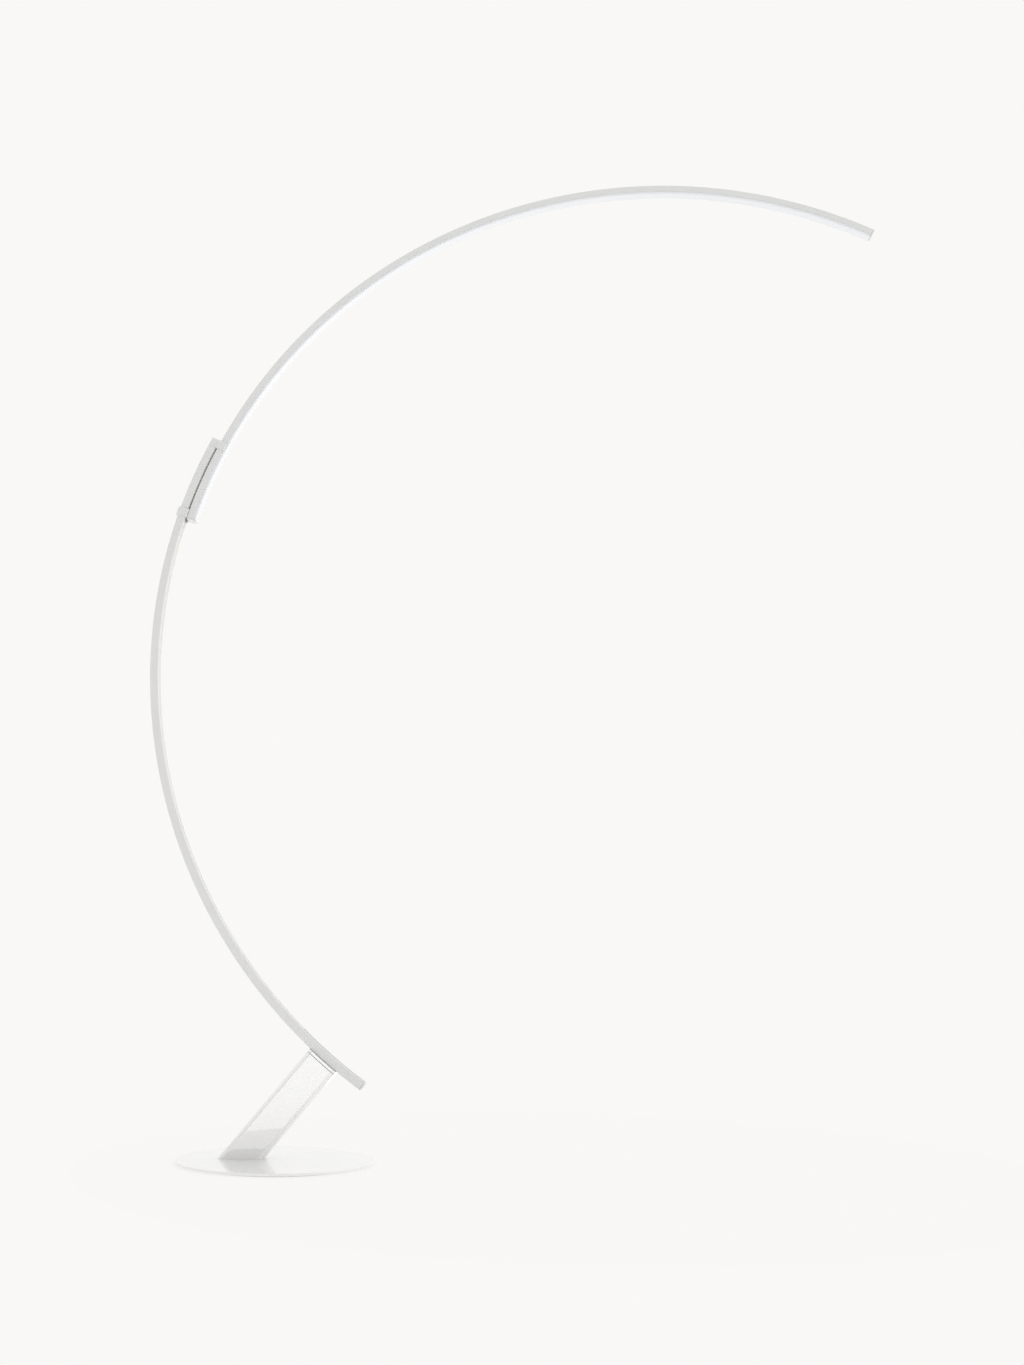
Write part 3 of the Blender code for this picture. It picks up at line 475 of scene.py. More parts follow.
def pick(kind: str, test: Callable[[Vector], bool]) -> int:
    """Select the active mesh's elements whose middle passes a test.

    Args:
        kind: "VERT", "EDGE" or "FACE".
        test: Test of a middle in the mesh's own coordinates.

    Returns:
        How many elements were selected.
    """
    bpy.ops.object.mode_set(mode="EDIT")
    bpy.ops.mesh.select_mode(type=kind)
    bpy.ops.mesh.select_all(action="DESELECT")
    close_edit()
    mesh = active().data
    points = [vertex.co.copy() for vertex in mesh.vertices]
    if kind == "VERT":
        items = [(vertex, vertex.co) for vertex in mesh.vertices]
    elif kind == "EDGE":
        items = [(edge, sum((points[i] for i in edge.vertices), Vector()) / 2) for edge in mesh.edges]
    else:
        items = [(face, face.center) for face in mesh.polygons]
    count = 0
    for item, middle in items:
        item.select = test(middle)
        count += item.select
    bpy.ops.object.mode_set(mode="EDIT")
    return count


def apply(kind: str, **settings: object) -> None:
    """Add a modifier to the active piece and apply it.

    Args:
        kind: Modifier type.
        **settings: The modifier's attributes.
    """
    close_edit()
    step = active().modifiers.new(kind, kind)
    for key, value in settings.items():
        setattr(step, key, value)
    bpy.ops.object.modifier_apply(modifier=step.name)


def combine(piece: Piece, other: Piece, operation: str = "DIFFERENCE") -> None:
    """Cut a piece with another shape or join the two, and throw the other away.

    Args:
        piece: Object that changes.
        other: Object that is used up.
        operation: DIFFERENCE or UNION.
    """
    deselect()
    bpy.context.view_layer.objects.active = piece
    piece.select_set(True)
    apply("BOOLEAN", operation=operation, object=other, solver="EXACT")
    bpy.data.objects.remove(other, do_unlink=True)


def tidy_up(angle: float = 32.0, weighted: bool = True) -> None:
    """Place the active mesh in the lamp's own frame, turn its faces out and smooth it.

    Args:
        angle: Edges sharper than this stay sharp.
        weighted: Whether flat faces keep their own direction beside a bevel.
    """
    close_edit()
    bpy.ops.object.transform_apply(location=True, rotation=True, scale=True)
    take_all()
    bpy.ops.mesh.remove_doubles(threshold=WELD)
    bpy.ops.mesh.normals_make_consistent(inside=False)
    close_edit()
    bpy.ops.object.shade_smooth_by_angle(angle=math.radians(angle))
    if weighted:
        apply("WEIGHTED_NORMAL", keep_sharp=True, weight=80)


def add_cylinder(radius: float, length: float, base: Vector, direction: Vector,
                 segments: int = 64) -> Piece:
    """Add a cylinder that starts at a point.

    Args:
        radius: Its radius.
        length: Its length.
        base: Middle of its first end.
        direction: Direction of its axis.
        segments: Sides round it.

    Returns:
        The object, which is active.
    """
    deselect()
    turn = direction.to_track_quat("Z", "Y").to_euler()
    bpy.ops.mesh.primitive_cylinder_add(vertices=segments, radius=radius, depth=length,
                                        location=base + direction * (length / 2), rotation=turn)
    return active()


def add_rectangle(width: float, depth: float, place: Vector, turn: Sequence[float]) -> Piece:
    """Add a flat rectangle.

    Args:
        width: Its size along its own x.
        depth: Its size along its own y.
        place: Its middle.
        turn: Its Euler angles.

    Returns:
        The object, open for editing with all of it selected.
    """
    deselect()
    bpy.ops.mesh.primitive_plane_add(size=1.0, location=place, rotation=turn)
    piece = active()
    piece.scale = (width, depth, 1.0)
    bpy.ops.object.transform_apply(location=False, rotation=False, scale=True)
    take_all()
    return piece


def bevel_edges(test: Callable[[Vector], bool], width: float, segments: int) -> None:
    """Round the active mesh's edges whose middle passes a test."""
    pick("EDGE", test)
    bpy.ops.mesh.bevel(offset=width, segments=segments, affect="EDGES", profile=0.5, clamp_overlap=True)


@dataclass(frozen=True)
class Section:
    """Section in (radius, depth) made of rectangles between straight cuts.

    A local x is the radius from the middle of the section, and a local y is the depth.
    """

    radii: tuple[float, ...]
    depths: tuple[float, ...]
    keep: Keep = lambda radius, depth: True
    corners: dict[Side, float] = field(default_factory=dict)
    steps: int = 6

    def draw(self, angle: float) -> Piece:
        """Draw the section at an angle on the bars' circle.

        Args:
            angle: Angle about the bars' centre.

        Returns:
            The flat object, open for editing with all of it selected.
        """
        low, high = self.radii[0], self.radii[-1]
        middle = (low + high) / 2
        way = Vector((math.cos(math.radians(angle)), 0.0, math.sin(math.radians(angle))))
        piece = add_rectangle(high - low, 2 * self.depths[-1], CENTRE + way * middle,
                              (0.0, -math.radians(angle), 0.0))
        turn = piece.matrix_world.to_3x3()
        for radius in self.radii[1:-1]:
            self.cut(CENTRE + way * radius, turn @ Vector((1.0, 0.0, 0.0)))
        for depth in (*self.depths[:-1], *(-depth for depth in self.depths[:-1])):
            self.cut(CENTRE + BACK * depth, BACK)
        if pick("FACE", lambda at: not self.keep(at.x + middle, abs(at.y))):
            bpy.ops.mesh.delete(type="FACE")
        for side, rounding in self.corners.items():
            edge = (low if side is Side.INNER else high) - middle
            close_edit()
            reach = max(abs(point.co.y) for point in piece.data.vertices
                        if abs(point.co.x - edge) < CORNER_SLACK)

            def corner(at: Vector) -> bool:
                """Tell whether a point is one of this side's outer corners."""
                return abs(at.x - edge) < CORNER_SLACK and abs(abs(at.y) - reach) < CORNER_SLACK

            pick("VERT", corner)
            bpy.ops.mesh.bevel(offset=rounding, segments=self.steps, affect="VERTICES", profile=0.5)
        take_all()
        return piece

    def cut(self, point: Vector, normal: Vector) -> None:
        """Split the open section along a line."""
        bpy.ops.mesh.select_all(action="SELECT")
        bpy.ops.mesh.bisect(plane_co=point, plane_no=normal)

    def spun(self, start: float, end: float, fineness: float = 0.5) -> Piece:
        """Spin the section along the bars' circle.

        Args:
            start: First angle.
            end: Last angle, above start.
            fineness: Degrees between two rings.

        Returns:
            The closed bent piece, which is active.
        """
        piece = self.draw(start)
        steps = max(1, round((end - start) / fineness))
        bpy.ops.mesh.spin(steps=steps, angle=math.radians(end - start), center=CENTRE, axis=BACK)
        tidy_up()
        return piece


@dataclass(frozen=True)
class Sizes:
    """Sizes that several sub-assemblies share."""

    depth: float = 0.013
    lower_outer: float = 1.117
    lower_inner: float = 1.0995
    light_outer: float = 1.0955
    channel_edge: float = 1.0815
    diffuser_face: float = 1.076
    channel_wall: float = 0.0016
    channel_web: float = 0.0022
    collar_half: float = 0.01645
    collar_pocket: float = 0.01465
    liner_half: float = 0.01435
    liner_pocket: float = 0.0134
    track_half: float = 0.005
    track_depth: float = 0.0022
    inlay_width: float = 0.0024
    inlay_thickness: float = 0.0007
    liner_lip: float = 0.001
    lower_top: float = 156.0
    lower_foot: float = 236.0
    light_heel: float = 165.0
    light_tip: float = 64.6
    lean: float = 51.14

    def arc(self, length: float) -> float:
        """Angle that a length takes on the lower bar's outer face."""
        return math.degrees(length / self.lower_outer)

    @property
    def inside(self) -> float:
        """Half depth of the channel's inside."""
        return self.depth - self.channel_wall

    @property
    def inlay_high(self) -> float:
        """Radius of the inlays' outer edge."""
        return self.lower_inner - 2 * GAP

    @property
    def inlay_low(self) -> float:
        """Radius of the inlays' inner edge."""
        return self.inlay_high - self.inlay_width

    @property
    def inlay_floor(self) -> float:
        """Half depth of the recess that the inlays lie in."""
        return self.collar_half - self.inlay_thickness - GAP


def line_collar(sizes: Sizes, tube: Section, flange: Section, start: float, edge: float) -> Piece:
    """Nylon tube with a flange at its foot and an inlay in each of its sides.

    Args:
        sizes: The shared sizes.
        tube: Section of the tube.
        flange: Section of the flange.
        start: Angle of the tube's upper end.
        edge: Angle of the flange's upper face.

    Returns:
        The liner in one piece.
    """
    inlay = sizes.collar_half - sizes.inlay_thickness
    strips = Section((sizes.inlay_low, sizes.inlay_high), (inlay, sizes.collar_half),
                     lambda radius, depth: depth > inlay)
    foot = edge + sizes.arc(sizes.liner_lip)
    middle = (edge + foot) / 2
    piece = tube.spun(start, middle, COLLAR_FINENESS)
    combine(piece, flange.spun(edge, foot), "UNION")
    combine(piece, strips.spun(start, middle, COLLAR_FINENESS), "UNION")
    tidy_up()
    return piece


@dataclass
class Assembly:
    """What every sub-assembly needs."""

    finishes: dict[str, Material]
    sizes: Sizes

    def finish(self, piece: Piece, name: str, slot: str, body: Body, node: str, look: str = "") -> None:
        """Name and dress a piece and hang it on its body.

        Args:
            piece: The finished shape.
            name: Its name.
            slot: The record's material slot.
            body: Body that it rides on.
            node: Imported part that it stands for.
            look: Name of its finish, where that isn't the slot's.
        """
        piece.name = name
        piece.data.name = name
        piece.data.materials.clear()
        piece.data.materials.append(self.finishes[look or slot])
        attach(piece, body.value)
        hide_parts(node)
        LOG.info("%s: %d faces on %s", name, len(piece.data.polygons), body.value)
        deselect()


@dataclass
class Base(Assembly):
    """Round lacquered plate on a felt pad."""

    bevel: float = 0.0008
    segments: int = 256

    def build(self) -> None:
        """Build the plate and the pad."""
        self.plate()
        self.pad()

    def plate(self) -> None:
        """Steel plate with its edges rounded over."""
        low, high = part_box("base_plate")
        radius = (high.x - low.x) / 2
        thickness = high.z - low.z
        piece = add_cylinder(radius, thickness, Vector((0.0, 0.0, low.z)), UP, self.segments)
        bevel_edges(lambda at: abs(abs(at.z) - thickness / 2) < GAP, self.bevel, 4)
        pick("FACE", lambda at: Vector((at.x, at.y)).length < radius / 10)
        bpy.ops.mesh.inset(thickness=self.bevel, depth=0.0)
        tidy_up()
        self.finish(piece, "base_disc", "white_gloss", Body.STAND, "base_plate")

    def pad(self) -> None:
        """Felt pad with a softly cut edge."""
        low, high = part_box("floor_pad")
        thickness = high.z - low.z
        foot = Vector((0.0, 0.0, low.z))
        piece = add_cylinder((high.x - low.x) / 2, thickness, foot, UP, self.segments // 2)
        bevel_edges(lambda at: abs(at.z - thickness / 2) < GAP, thickness / 4, 3)
        tidy_up()
        self.finish(piece, "felt_pad", "felt", Body.STAND, "floor_pad")


@dataclass
class Post(Assembly):
    """Leaning post of rounded section, its saddle and its cord inlet."""

    width: float = 0.0722
    depth: float = 0.044
    corner: float = 0.010
    wall: float = 0.0025
    length: float = 0.2459
    reveal: float = 0.001
    saddle_thickness: float = 0.005
    edge: float = 0.0005
    inlet_radius: float = 0.006
    inlet_bore: float = 0.0035
    inlet_lip: float = 0.0021
    flange_thickness: float = 0.0025
    flange_edge: float = 0.0008

    def __post_init__(self) -> None:
        """Find the post's foot and directions from the bars' centre and the base."""
        lean = math.radians(self.sizes.lean)
        self.axis = Vector((math.cos(lean), 0.0, math.sin(lean)))
        self.side = Vector((self.axis.z, 0.0, -self.axis.x))
        self.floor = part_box("base_plate")[1].z
        self.foot = CENTRE - self.axis * ((CENTRE.z - self.floor) / self.axis.z)

    def build(self) -> None:
        """Build the shell, the saddle and the inlet."""
        self.shell()
        self.saddle()
        self.inlet()

    def outline(self, height: float) -> Piece:
        """Draw the post's rounded section across its axis.

        Args:
            height: Height along the axis from the foot.

        Returns:
            The flat object, open for editing and all selected.
        """
        turn = Matrix((self.side, BACK, self.side.cross(BACK))).transposed().to_euler()
        piece = add_rectangle(self.width, self.depth, self.foot + self.axis * height, turn)
        take_all("VERT")
        bpy.ops.mesh.bevel(offset=self.corner, segments=12, affect="VERTICES", profile=0.5)
        take_all()
        return piece

    def push(self, distance: float) -> None:
        """Extrude what is selected along the post's axis."""
        bpy.ops.mesh.extrude_region_move(TRANSFORM_OT_translate={"value": self.axis * distance})

    def shell(self) -> None:
        """Tube cut level above the base, with a hole for the inlet."""
        start = self.width
        piece = self.outline(-start)
        bpy.ops.mesh.inset(thickness=self.wall, depth=0.0)
        bpy.ops.mesh.delete(type="FACE")
        bpy.ops.mesh.select_all(action="SELECT")
        self.push(self.length + start)
        level = Vector((0.0, 0.0, self.floor + GAP / 10))
        bpy.ops.mesh.select_all(action="SELECT")
        bpy.ops.mesh.bisect(plane_co=level, plane_no=UP, clear_inner=True)
        bpy.ops.mesh.select_all(action="DESELECT")
        bpy.ops.mesh.select_mode(type="EDGE")
        bpy.ops.mesh.select_non_manifold()
        bpy.ops.mesh.bridge_edge_loops()
        tidy_up(weighted=False)
        top = self.foot + self.axis * self.length
        half = Vector((self.width / 2, self.depth / 2))
        corner = Vector((self.corner, self.corner))

        def rim(at: Vector) -> bool:
            """Tell whether an edge's middle is on the top's outer rim."""
            offset = at - top
            across = Vector((offset.dot(self.side), offset.y))
            outside = abs(across.x) > half.x - self.wall / 2 or abs(across.y) > half.y - self.wall / 2
            round_off = Vector((abs(across.x) - half.x, abs(across.y) - half.y)) + corner
            at_corner = min(round_off) > 0.0 and round_off.length > self.corner - self.wall / 2
            return abs(offset.dot(self.axis)) < CORNER_SLACK and (outside or at_corner)

        bevel_edges(rim, self.edge, 3)
        low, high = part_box("inlet_gland")
        middle = (low + high) / 2
        hole = (high.x - low.x) / 2 - self.inlet_lip
        start_point = Vector((middle.x, 0.0, middle.z))
        combine(piece, add_cylinder(hole, self.depth, start_point, BACK))
        tidy_up()
        self.finish(piece, "post", "white_gloss", Body.STAND, "post_shell")

    def saddle(self) -> None:
        """Pad hollowed to the lower bar's outer face."""
        piece = self.outline(self.length + self.reveal)
        self.push(self.saddle_thickness * 2)
        tidy_up(weighted=False)
        radius = self.sizes.lower_outer + GAP
        bar = add_cylinder(radius, self.depth * 2, CENTRE - BACK * self.depth, BACK, 1440)
        combine(piece, bar)
        tidy_up()
        self.finish(piece, "saddle_pad", "white_gloss", Body.STAND, "saddle")

    def inlet(self) -> None:
        """Flanged bush that a supply cord would pass through."""
        low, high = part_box("inlet_gland")
        middle = (low + high) / 2
        flange = (high.x - low.x) / 2
        back = Vector((middle.x, high.y, middle.z))
        depth = high.y - low.y
        thickness = self.flange_thickness
        bush = add_cylinder(self.inlet_radius, depth, back - BACK * depth, BACK)
        collar = add_cylinder(flange, thickness, back - BACK * thickness, BACK)
        bevel_edges(lambda at: abs(at.z - thickness / 2) < SLACK, self.flange_edge, 4)
        combine(bush, collar, "UNION")
        combine(bush, add_cylinder(self.inlet_bore, depth * 2, back - BACK * depth * 1.5, BACK))
        tidy_up()
        self.finish(bush, "cord_inlet", "black_plastic", Body.STAND, "inlet_gland")


@dataclass
class LowerBar(Assembly):
    """Lower bent bar with its track, its end cap and its screws."""

    wall: float = 0.002
    inner_corner: float = 0.003
    outer_corner: float = 0.0015
    cap: float = 0.003
    wire_recess: float = 0.0008
    wire_thickness: float = 0.0005
    wire_half: float = 0.0006
    wire_place: float = 0.0025
    track_start: float = 0.0013
    track_stop: float = 0.0722
    pocket_radius: float = 0.0028
    pocket_depth: float = 0.010
    head_radius: float = 0.0024
    head_height: float = 0.0012
    head_edge: float = 0.00025
    socket_radius: float = 0.00125
    socket_depth: float = 0.0004
    shank_radius: float = 0.0013
    shank_length: float = 0.006
    shank_overlap: float = 0.0001

    def build(self) -> None:
        """Build the bar and all that is fixed on it."""
        self.bar()
        self.track()
        self.stub_cap()

    def bar(self) -> None:
        """Hollow bar with a groove along its inner face and pockets for two screws."""
        sizes = self.sizes
        groove = sizes.lower_inner + sizes.track_depth + GAP
        floor = groove + self.wall
        roof = sizes.lower_outer - self.wall
        groove_half = sizes.track_half + GAP
        hollow_half = sizes.depth - self.wall

        def keep(radius: float, depth: float) -> bool:
            """Leave out the groove and the hollow."""
            in_groove = radius < groove and depth < groove_half
            in_hollow = floor < radius < roof and depth < hollow_half
            return not in_groove and not in_hollow

        section = Section((sizes.lower_inner, groove, floor, roof, sizes.lower_outer),
                          (groove_half, hollow_half, sizes.depth), keep,
                          {Side.INNER: self.inner_corner, Side.OUTER: self.outer_corner})
        piece = section.spun(sizes.lower_top, sizes.lower_foot)
        for index in (1, 2):
            combine(piece, self.pocket(index))
        tidy_up()
        self.finish(piece, "lower_bar", "white_satin", Body.STAND, "lower_arc")

    def screw_place(self, index: int) -> tuple[Vector, Vector]:
        """Seat and inward direction of one of the upper collar's screws.

        Args:
            index: 1 or 2.

        Returns:
            Middle of the seat on the bar's outer wall, and the screw's direction.
        """
        low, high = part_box(f"upper_collar_screw_{index}")
        middle = (low + high) / 2
        way = (CENTRE - Vector((middle.x, CENTRE.y, middle.z))).normalized()
        seat = CENTRE - way * (self.sizes.lower_outer - self.wall / 2) + BACK * middle.y
        return seat, way

    def pocket(self, index: int) -> Piece:
        """Cutter for a screw's head and shank."""
        seat, way = self.screw_place(index)
        return add_cylinder(self.pocket_radius, self.pocket_depth, seat - way * self.pocket_depth, way)

    def screw(self, index: int) -> None:
        """Socket-head screw that holds the upper collar."""
        seat, way = self.screw_place(index)
        height = self.head_height
        head = add_cylinder(self.head_radius, height, seat - way * height, way, 48)
        bevel_edges(lambda at: abs(at.z + height / 2) < SLACK, self.head_edge, 3)
        socket = seat - way * (2 * height - self.socket_depth)
        combine(head, add_cylinder(self.socket_radius, height, socket, way, 6))
        shank_start = seat - way * self.shank_overlap
        add_cylinder(self.shank_radius, self.shank_length, shank_start, way, 32)
        head.select_set(True)
        bpy.context.view_layer.objects.active = head
        bpy.ops.object.join()
        tidy_up()
        self.finish(head, f"collar_screw_{index}", "zinc_steel",
                    Body.STAND, f"upper_collar_screw_{index}")

    def track(self) -> None:
        """Insulating strip and two conductors in the groove."""
        sizes = self.sizes
        low = sizes.lower_inner + self.wire_recess
        high = low + self.wire_thickness
        near = self.wire_place - self.wire_half - GAP
        far = self.wire_place + self.wire_half + GAP
        floor = high + GAP
        start = sizes.lower_top + sizes.arc(self.track_start)
        end = sizes.lean + 180.0 - sizes.arc(self.track_stop)

        def keep(radius: float, depth: float) -> bool:
            """Leave out the two conductors' slots."""
            return not (radius < floor and near < depth < far)

        section = Section((sizes.lower_inner, floor, sizes.lower_inner + sizes.track_depth),
                          (near, far, sizes.track_half), keep)
        strip = section.spun(start, end)
        self.finish(strip, "track", "natural_nylon", Body.STAND, "conductor_track")
        for index, sign in ((1, -1), (2, 1)):
            wire = Section((low, high), (self.wire_half,)).spun(start, end)
            take_all()
            bpy.ops.transform.translate(value=BACK * (self.wire_place * sign))
            tidy_up()
            self.finish(wire, f"track_wire_{index}", "copper", Body.STAND, f"conductor_{index}")
        for index in (1, 2):
            self.screw(index)

    def stub_cap(self) -> None:
        """Plug in the bar's lower end."""
        sizes = self.sizes
        start = sizes.lower_foot + sizes.arc(GAP)
        end = start + sizes.arc(self.cap)
        section = Section((sizes.lower_inner, sizes.lower_outer), (sizes.depth,), corners={
            Side.INNER: self.inner_corner, Side.OUTER: self.outer_corner})
        piece = section.spun(start, end)
        self.finish(piece, "stub_end", "white_satin", Body.STAND, "stub_cap")


@dataclass
class UpperCollar(Assembly):
    """Collar on the lower bar's upper end, which the light bar runs in."""

    length: float = 0.0185
    lip: float = 0.0018
    bridge: float = 0.0016
    corner: float = 0.0015

    def build(self) -> None:
        """Build the collar and its liner."""
        sizes = self.sizes
        lip_top = sizes.channel_edge - RUNNING
        lip_foot = lip_top - self.lip
        bridge = sizes.lower_inner - self.bridge

        def keep(radius: float, depth: float) -> bool:
            """Keep the block, the bridge, the cheeks and their lips, and leave out the recess."""
            if radius > sizes.lower_inner:
                return depth < sizes.depth
            in_recess = radius > sizes.inlay_low - GAP and depth > sizes.inlay_floor
            lip = radius < lip_top and depth > sizes.inside
            return not in_recess and (radius > bridge or depth > sizes.collar_pocket or lip)

        section = Section((lip_foot, lip_top, sizes.inlay_low - GAP, bridge, sizes.lower_inner,
                           sizes.lower_outer),
                          (sizes.inside, sizes.depth, sizes.collar_pocket, sizes.inlay_floor,
                           sizes.collar_half), keep,
                          {Side.INNER: self.corner / 2, Side.OUTER: self.corner})
        start = sizes.lower_top - sizes.arc(self.length)
        end = sizes.lower_top - sizes.arc(GAP)
        piece = section.spun(start, end, COLLAR_FINENESS)
        self.finish(piece, "upper_guide", "white_satin", Body.STAND, "upper_collar")
        self.liner(start)

    def liner(self, start: float) -> None:
        """Line the collar round the light bar's way.

        Args:
            start: Angle of the liner's upper end.
        """
        sizes = self.sizes
        inner = sizes.light_outer + RUNNING
        roof = sizes.lower_inner - self.bridge - GAP

        def keep(radius: float, depth: float) -> bool:
            """Leave out the light bar's way."""
            return radius > inner or depth > sizes.liner_pocket

        tube = Section((sizes.channel_edge, inner, roof), (sizes.liner_pocket, sizes.liner_half), keep)
        flange = Section((sizes.channel_edge, inner, sizes.inlay_high),
                         (sizes.liner_pocket, sizes.collar_half), keep)
        piece = line_collar(sizes, tube, flange, start, sizes.lower_top)
        self.finish(piece, "upper_guide_liner", "natural_nylon", Body.STAND, "upper_liner")


@dataclass
class LightBar(Assembly):
    """Sliding bar with its opal cover and its end caps."""

    outer_corner: float = 0.0015
    edge_corner: float = 0.0005
    cover_corner: float = 0.0035
    cover_wall: float = 0.0016
    tuck: float = 0.004
    cap: float = 0.003
    heel: float = 0.0035

    def build(self) -> None:
        """Build the channel, the cover and the caps."""
        self.channel()
        self.cover()
        sizes = self.sizes
        tip = sizes.light_tip - sizes.arc(GAP)
        self.end_cap("tip_end", "tip_cap", tip - sizes.arc(self.cap), tip)
        heel = sizes.light_heel + sizes.arc(GAP)
        self.end_cap("heel_end", "heel_cap", heel, heel + sizes.arc(self.heel))

    def channel(self) -> None:
        """Channel that is open towards the centre."""
        sizes = self.sizes
        web = sizes.light_outer - sizes.channel_web

        def keep(radius: float, depth: float) -> bool:
            """Keep the web and the two walls."""
            return radius > web or depth > sizes.inside

        section = Section((sizes.channel_edge, web, sizes.light_outer), (sizes.inside, sizes.depth),
                          keep, {Side.INNER: self.edge_corner, Side.OUTER: self.outer_corner})
        piece = section.spun(sizes.light_tip, sizes.light_heel)
        self.finish(piece, "light_bar", "white_satin", Body.LIGHT_ARM, "light_arc")

    def cover(self) -> None:
        """Opal cover held between the channel's walls."""
        sizes = self.sizes
        half = sizes.inside - GAP
        inside = half - self.cover_wall
        top = sizes.channel_edge + self.tuck
        floor = sizes.diffuser_face + self.cover_wall

        def keep(radius: float, depth: float) -> bool:
            """Keep the face and the two walls."""
            return radius < floor or depth > inside

        section = Section((sizes.diffuser_face, floor, top), (inside, half), keep,
                          {Side.INNER: self.cover_wall * 0.9}, steps=8)
        piece = section.spun(sizes.light_tip, sizes.light_heel)
        self.finish(piece, "opal_cover", "opal", Body.LIGHT_ARM, "diffuser")

    def end_cap(self, name: str, node: str, start: float, end: float) -> None:
        """Cap of the bar's whole section.

        Args:
            name: Name of the piece.
            node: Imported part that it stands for.
            start: First angle.
            end: Last angle.
        """
        sizes = self.sizes
        half = sizes.inside - GAP

        def keep(radius: float, depth: float) -> bool:
            """Step the cap in beside the cover."""
            return radius > sizes.channel_edge or depth < half

        section = Section((sizes.diffuser_face, sizes.channel_edge, sizes.light_outer),
                          (half, sizes.depth), keep,
                          {Side.INNER: self.cover_corner, Side.OUTER: self.outer_corner})
        piece = section.spun(start, end, CAP_FINENESS)
        self.finish(piece, name, "white_satin", Body.LIGHT_ARM, node)


@dataclass
class LowerCollar(Assembly):
    """Collar on the light bar's heel, which runs along the lower bar."""

    length: float = 0.0185
    web: float = 0.0016
    skin: float = 0.0014
    liner_skin: float = 0.0007
    corner: float = 0.0015
    shoe_half: float = 0.0045
    shoe_length: float = 0.007
    shoe_corner: float = 0.0006

    def build(self) -> None:
        """Build the collar, its liner and the contact shoe."""
        sizes = self.sizes
        base = sizes.light_outer + GAP
        floor = base + self.web
        roof = sizes.lower_outer + RUNNING + self.liner_skin + GAP
        recess_top = sizes.inlay_high + GAP

        def keep(radius: float, depth: float) -> bool:
            """Leave out the lower bar's way and the recess."""
            lower_way = floor < radius < roof and depth < sizes.collar_pocket
            in_recess = radius < recess_top and depth > sizes.inlay_floor
            return not lower_way and not in_recess

        section = Section((base, floor, recess_top, roof, roof + self.skin),
                          (sizes.collar_pocket, sizes.inlay_floor, sizes.collar_half), keep,
                          {Side.OUTER: self.corner})
        end = sizes.light_heel - sizes.arc(GAP)
        start = end - sizes.arc(self.length)
        piece = section.spun(start, end, COLLAR_FINENESS)
        self.finish(piece, "lower_guide", "white_satin", Body.LIGHT_ARM, "lower_collar")
        self.liner(start, end + sizes.arc(GAP))
        self.shoe(end + sizes.arc(2 * GAP + sizes.liner_lip))

    def liner(self, start: float, edge: float) -> None:
        """Line the collar round the lower bar's way.

        Args:
            start: Angle of the liner's upper end.
            edge: Angle of the flange's upper face.
        """
        sizes = self.sizes
        low = sizes.light_outer + GAP + self.web + GAP
        high = sizes.lower_outer + RUNNING + self.liner_skin
        bar_low = sizes.lower_inner - RUNNING
        bar_high = sizes.lower_outer + RUNNING

        def keep(radius: float, depth: float) -> bool:
            """Leave out the lower bar's way."""
            return not (bar_low < radius < bar_high and depth < sizes.liner_pocket)

        tube = Section((low, bar_low, bar_high, high), (sizes.liner_pocket, sizes.liner_half), keep)
        flange = Section((sizes.inlay_low, bar_low, bar_high, high + GAP + self.skin),
                         (sizes.liner_pocket, sizes.collar_half), keep, {Side.OUTER: self.corner})
        piece = line_collar(sizes, tube, flange, start, edge)
        self.finish(piece, "lower_guide_liner", "natural_nylon", Body.LIGHT_ARM, "lower_liner")

    def shoe(self, start: float) -> None:
        """Block that carries the brushes."""
        sizes = self.sizes
        section = Section((sizes.light_outer + GAP, sizes.lower_inner - RUNNING), (self.shoe_half,),
                          corners={Side.OUTER: self.shoe_corner})
        piece = section.spun(start, start + sizes.arc(self.shoe_length), CAP_FINENESS)
        self.finish(piece, "brush_shoe", "black_plastic",
                    Body.LIGHT_ARM, "contact_shoe", "grey_plastic")


@dataclass
class HiddenParts:
    """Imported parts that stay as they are, with better materials."""

    finishes: dict[str, Material]

    def build(self) -> None:
        """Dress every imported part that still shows."""
        by_slot = {entry["node"]: entry["material_slot"] for entry in frame["record"]["subparts"]}
        for name, node in frame["nodes"].items():
            if not node.hide_render:
                node.material_slots[0].material = self.finishes[by_slot[name]]


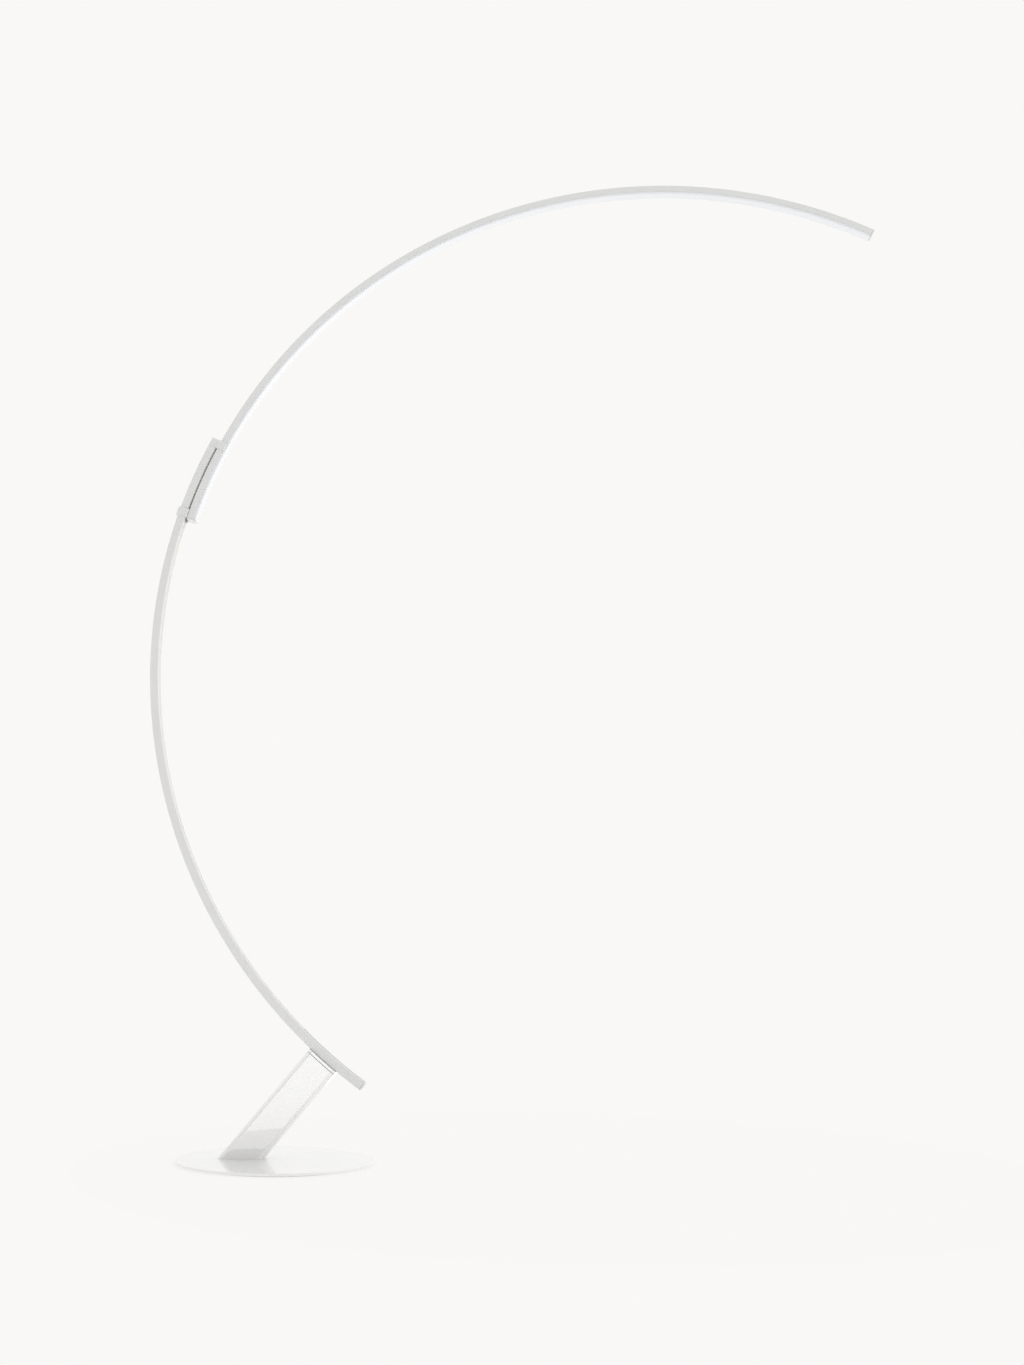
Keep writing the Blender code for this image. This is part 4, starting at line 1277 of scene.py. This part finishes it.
@dataclass
class Studio:
    """Pale floor, soft light and the camera."""

    backdrop: Colour = (0.947, 0.939, 0.923)
    back_light: float = 0.97
    front_light: float = 0.78
    right_light: float = 0.06
    horizon_light: float = 0.65
    front_band: float = 0.50
    front_to_back: tuple[float, float] = (-1.0, 0.1)
    horizon_height: tuple[float, float] = (-0.6, -0.1)
    band_height: tuple[float, float] = (0.35, 0.15)
    band_depth: tuple[float, float] = (-0.3, -0.7)
    band_side: tuple[float, float] = (-0.50, -0.32)
    light_colour: Colour = (1.0, 0.995, 0.985)
    floor_colour: Colour = (0.95, 0.945, 0.93)
    sun_softness: float = 50.0
    sun_turn: tuple[float, float, float] = (-18.0, 42.0, 0.0)
    sun_strength: float = 0.25
    floor_radius: float = 1.0
    floor_middle: tuple[float, float, float] = (0.60, 0.10, -GAP / 3)
    floor_shadow: float = 0.25
    floor_glow: float = 1.0
    eye: tuple[float, float, float] = (0.5423, -2.9501, 0.4121)
    turn: tuple[float, float, float] = (101.251, -1.230, 1.401)
    lens: float = 36.831

    def build(self) -> None:
        """Set up the whole studio."""
        self.world()
        self.sun()
        self.floor()
        self.camera()
        bpy.context.scene.view_settings.view_transform = "Standard"

    def world(self) -> None:
        """Soft light from all round: weaker from the front, bright under the horizon past the floor."""
        world = bpy.data.worlds.new("studio")
        work = NodeWork(world)
        work.tree.nodes.clear()
        parts = work.add("ShaderNodeSeparateXYZ")
        work.join(work.add("ShaderNodeTexCoord").outputs["Generated"], parts.inputs[0])

        def ramp(axis: str, limits: tuple[float, float], low: float, high: float) -> Socket:
            """Smooth change of a value along one axis of the sky."""
            return work.spread(parts.outputs[axis], low, high, *limits, "SMOOTHSTEP")

        under = work.math("LESS_THAN", parts.outputs["Z"])
        band = ramp("Z", self.band_height, 0.0, -self.front_band)
        for mask in (ramp("Y", self.band_depth, 0.0, 1.0), ramp("X", self.band_side, 0.0, 1.0),
                     work.math("SUBTRACT", 1.0, under)):
            band = work.math("MULTIPLY", band, mask)
        horizon = ramp("Z", self.horizon_height, 0.0, self.horizon_light)
        strength = ramp("Y", self.front_to_back, self.front_light, self.back_light)
        for term in (ramp("X", (-1.0, 1.0), -self.right_light, self.right_light),
                     work.math("MULTIPLY", horizon, under), band):
            strength = work.math("ADD", strength, term)
        light = work.glow("ShaderNodeBackground", self.light_colour, strength)
        seen = work.glow("ShaderNodeBackground", self.backdrop, 1.0)
        to_camera = work.add("ShaderNodeLightPath").outputs["Is Camera Ray"]
        work.blend_out("ShaderNodeOutputWorld", to_camera, light, seen)
        bpy.context.scene.world = world

    def sun(self) -> None:
        """Very soft light from high on the right."""
        data = bpy.data.lights.new("soft_key", "SUN")
        data.energy = self.sun_strength
        data.angle = math.radians(self.sun_softness)
        light = bpy.data.objects.new("soft_key", data)
        light.rotation_euler = tuple(math.radians(angle) for angle in self.sun_turn)
        bpy.context.scene.collection.objects.link(light)

    def floor(self) -> None:
        """Pale sheet that takes only a faint shadow."""
        deselect()
        bpy.ops.mesh.primitive_circle_add(vertices=256, radius=self.floor_radius, fill_type="NGON",
                                          location=self.floor_middle)
        sheet = active()
        sheet.name = "studio_floor"
        material = bpy.data.materials.new("pale_floor")
        work = NodeWork(material)
        work.tree.nodes.clear()
        glow = work.glow("ShaderNodeEmission", self.backdrop, self.floor_glow)
        matt = work.add("ShaderNodeBsdfDiffuse")
        matt.inputs["Color"].default_value = (*self.floor_colour, 1.0)
        work.blend_out("ShaderNodeOutputMaterial", self.floor_shadow, glow, matt.outputs[0])
        sheet.data.materials.append(material)

    def camera(self) -> None:
        """Camera low in front of the lamp, looking a little up."""
        data = bpy.data.cameras.new("camera")
        data.lens = self.lens
        data.clip_end = 100.0
        camera = bpy.data.objects.new("camera", data)
        camera.location = self.eye
        camera.rotation_euler = tuple(math.radians(angle) for angle in self.turn)
        bpy.context.scene.collection.objects.link(camera)
        bpy.context.scene.camera = camera


def main() -> None:
    """Build the lamp and the studio round it."""
    logging.basicConfig(level=logging.INFO, format="%(name)s: %(message)s")
    finishes = mixed_finishes()
    sizes = Sizes()
    Studio().build()
    Base(finishes, sizes).build()
    Post(finishes, sizes).build()
    LowerBar(finishes, sizes).build()
    UpperCollar(finishes, sizes).build()
    LightBar(finishes, sizes).build()
    LowerCollar(finishes, sizes).build()
    HiddenParts(finishes).build()


if __name__ == "__main__":
    main()
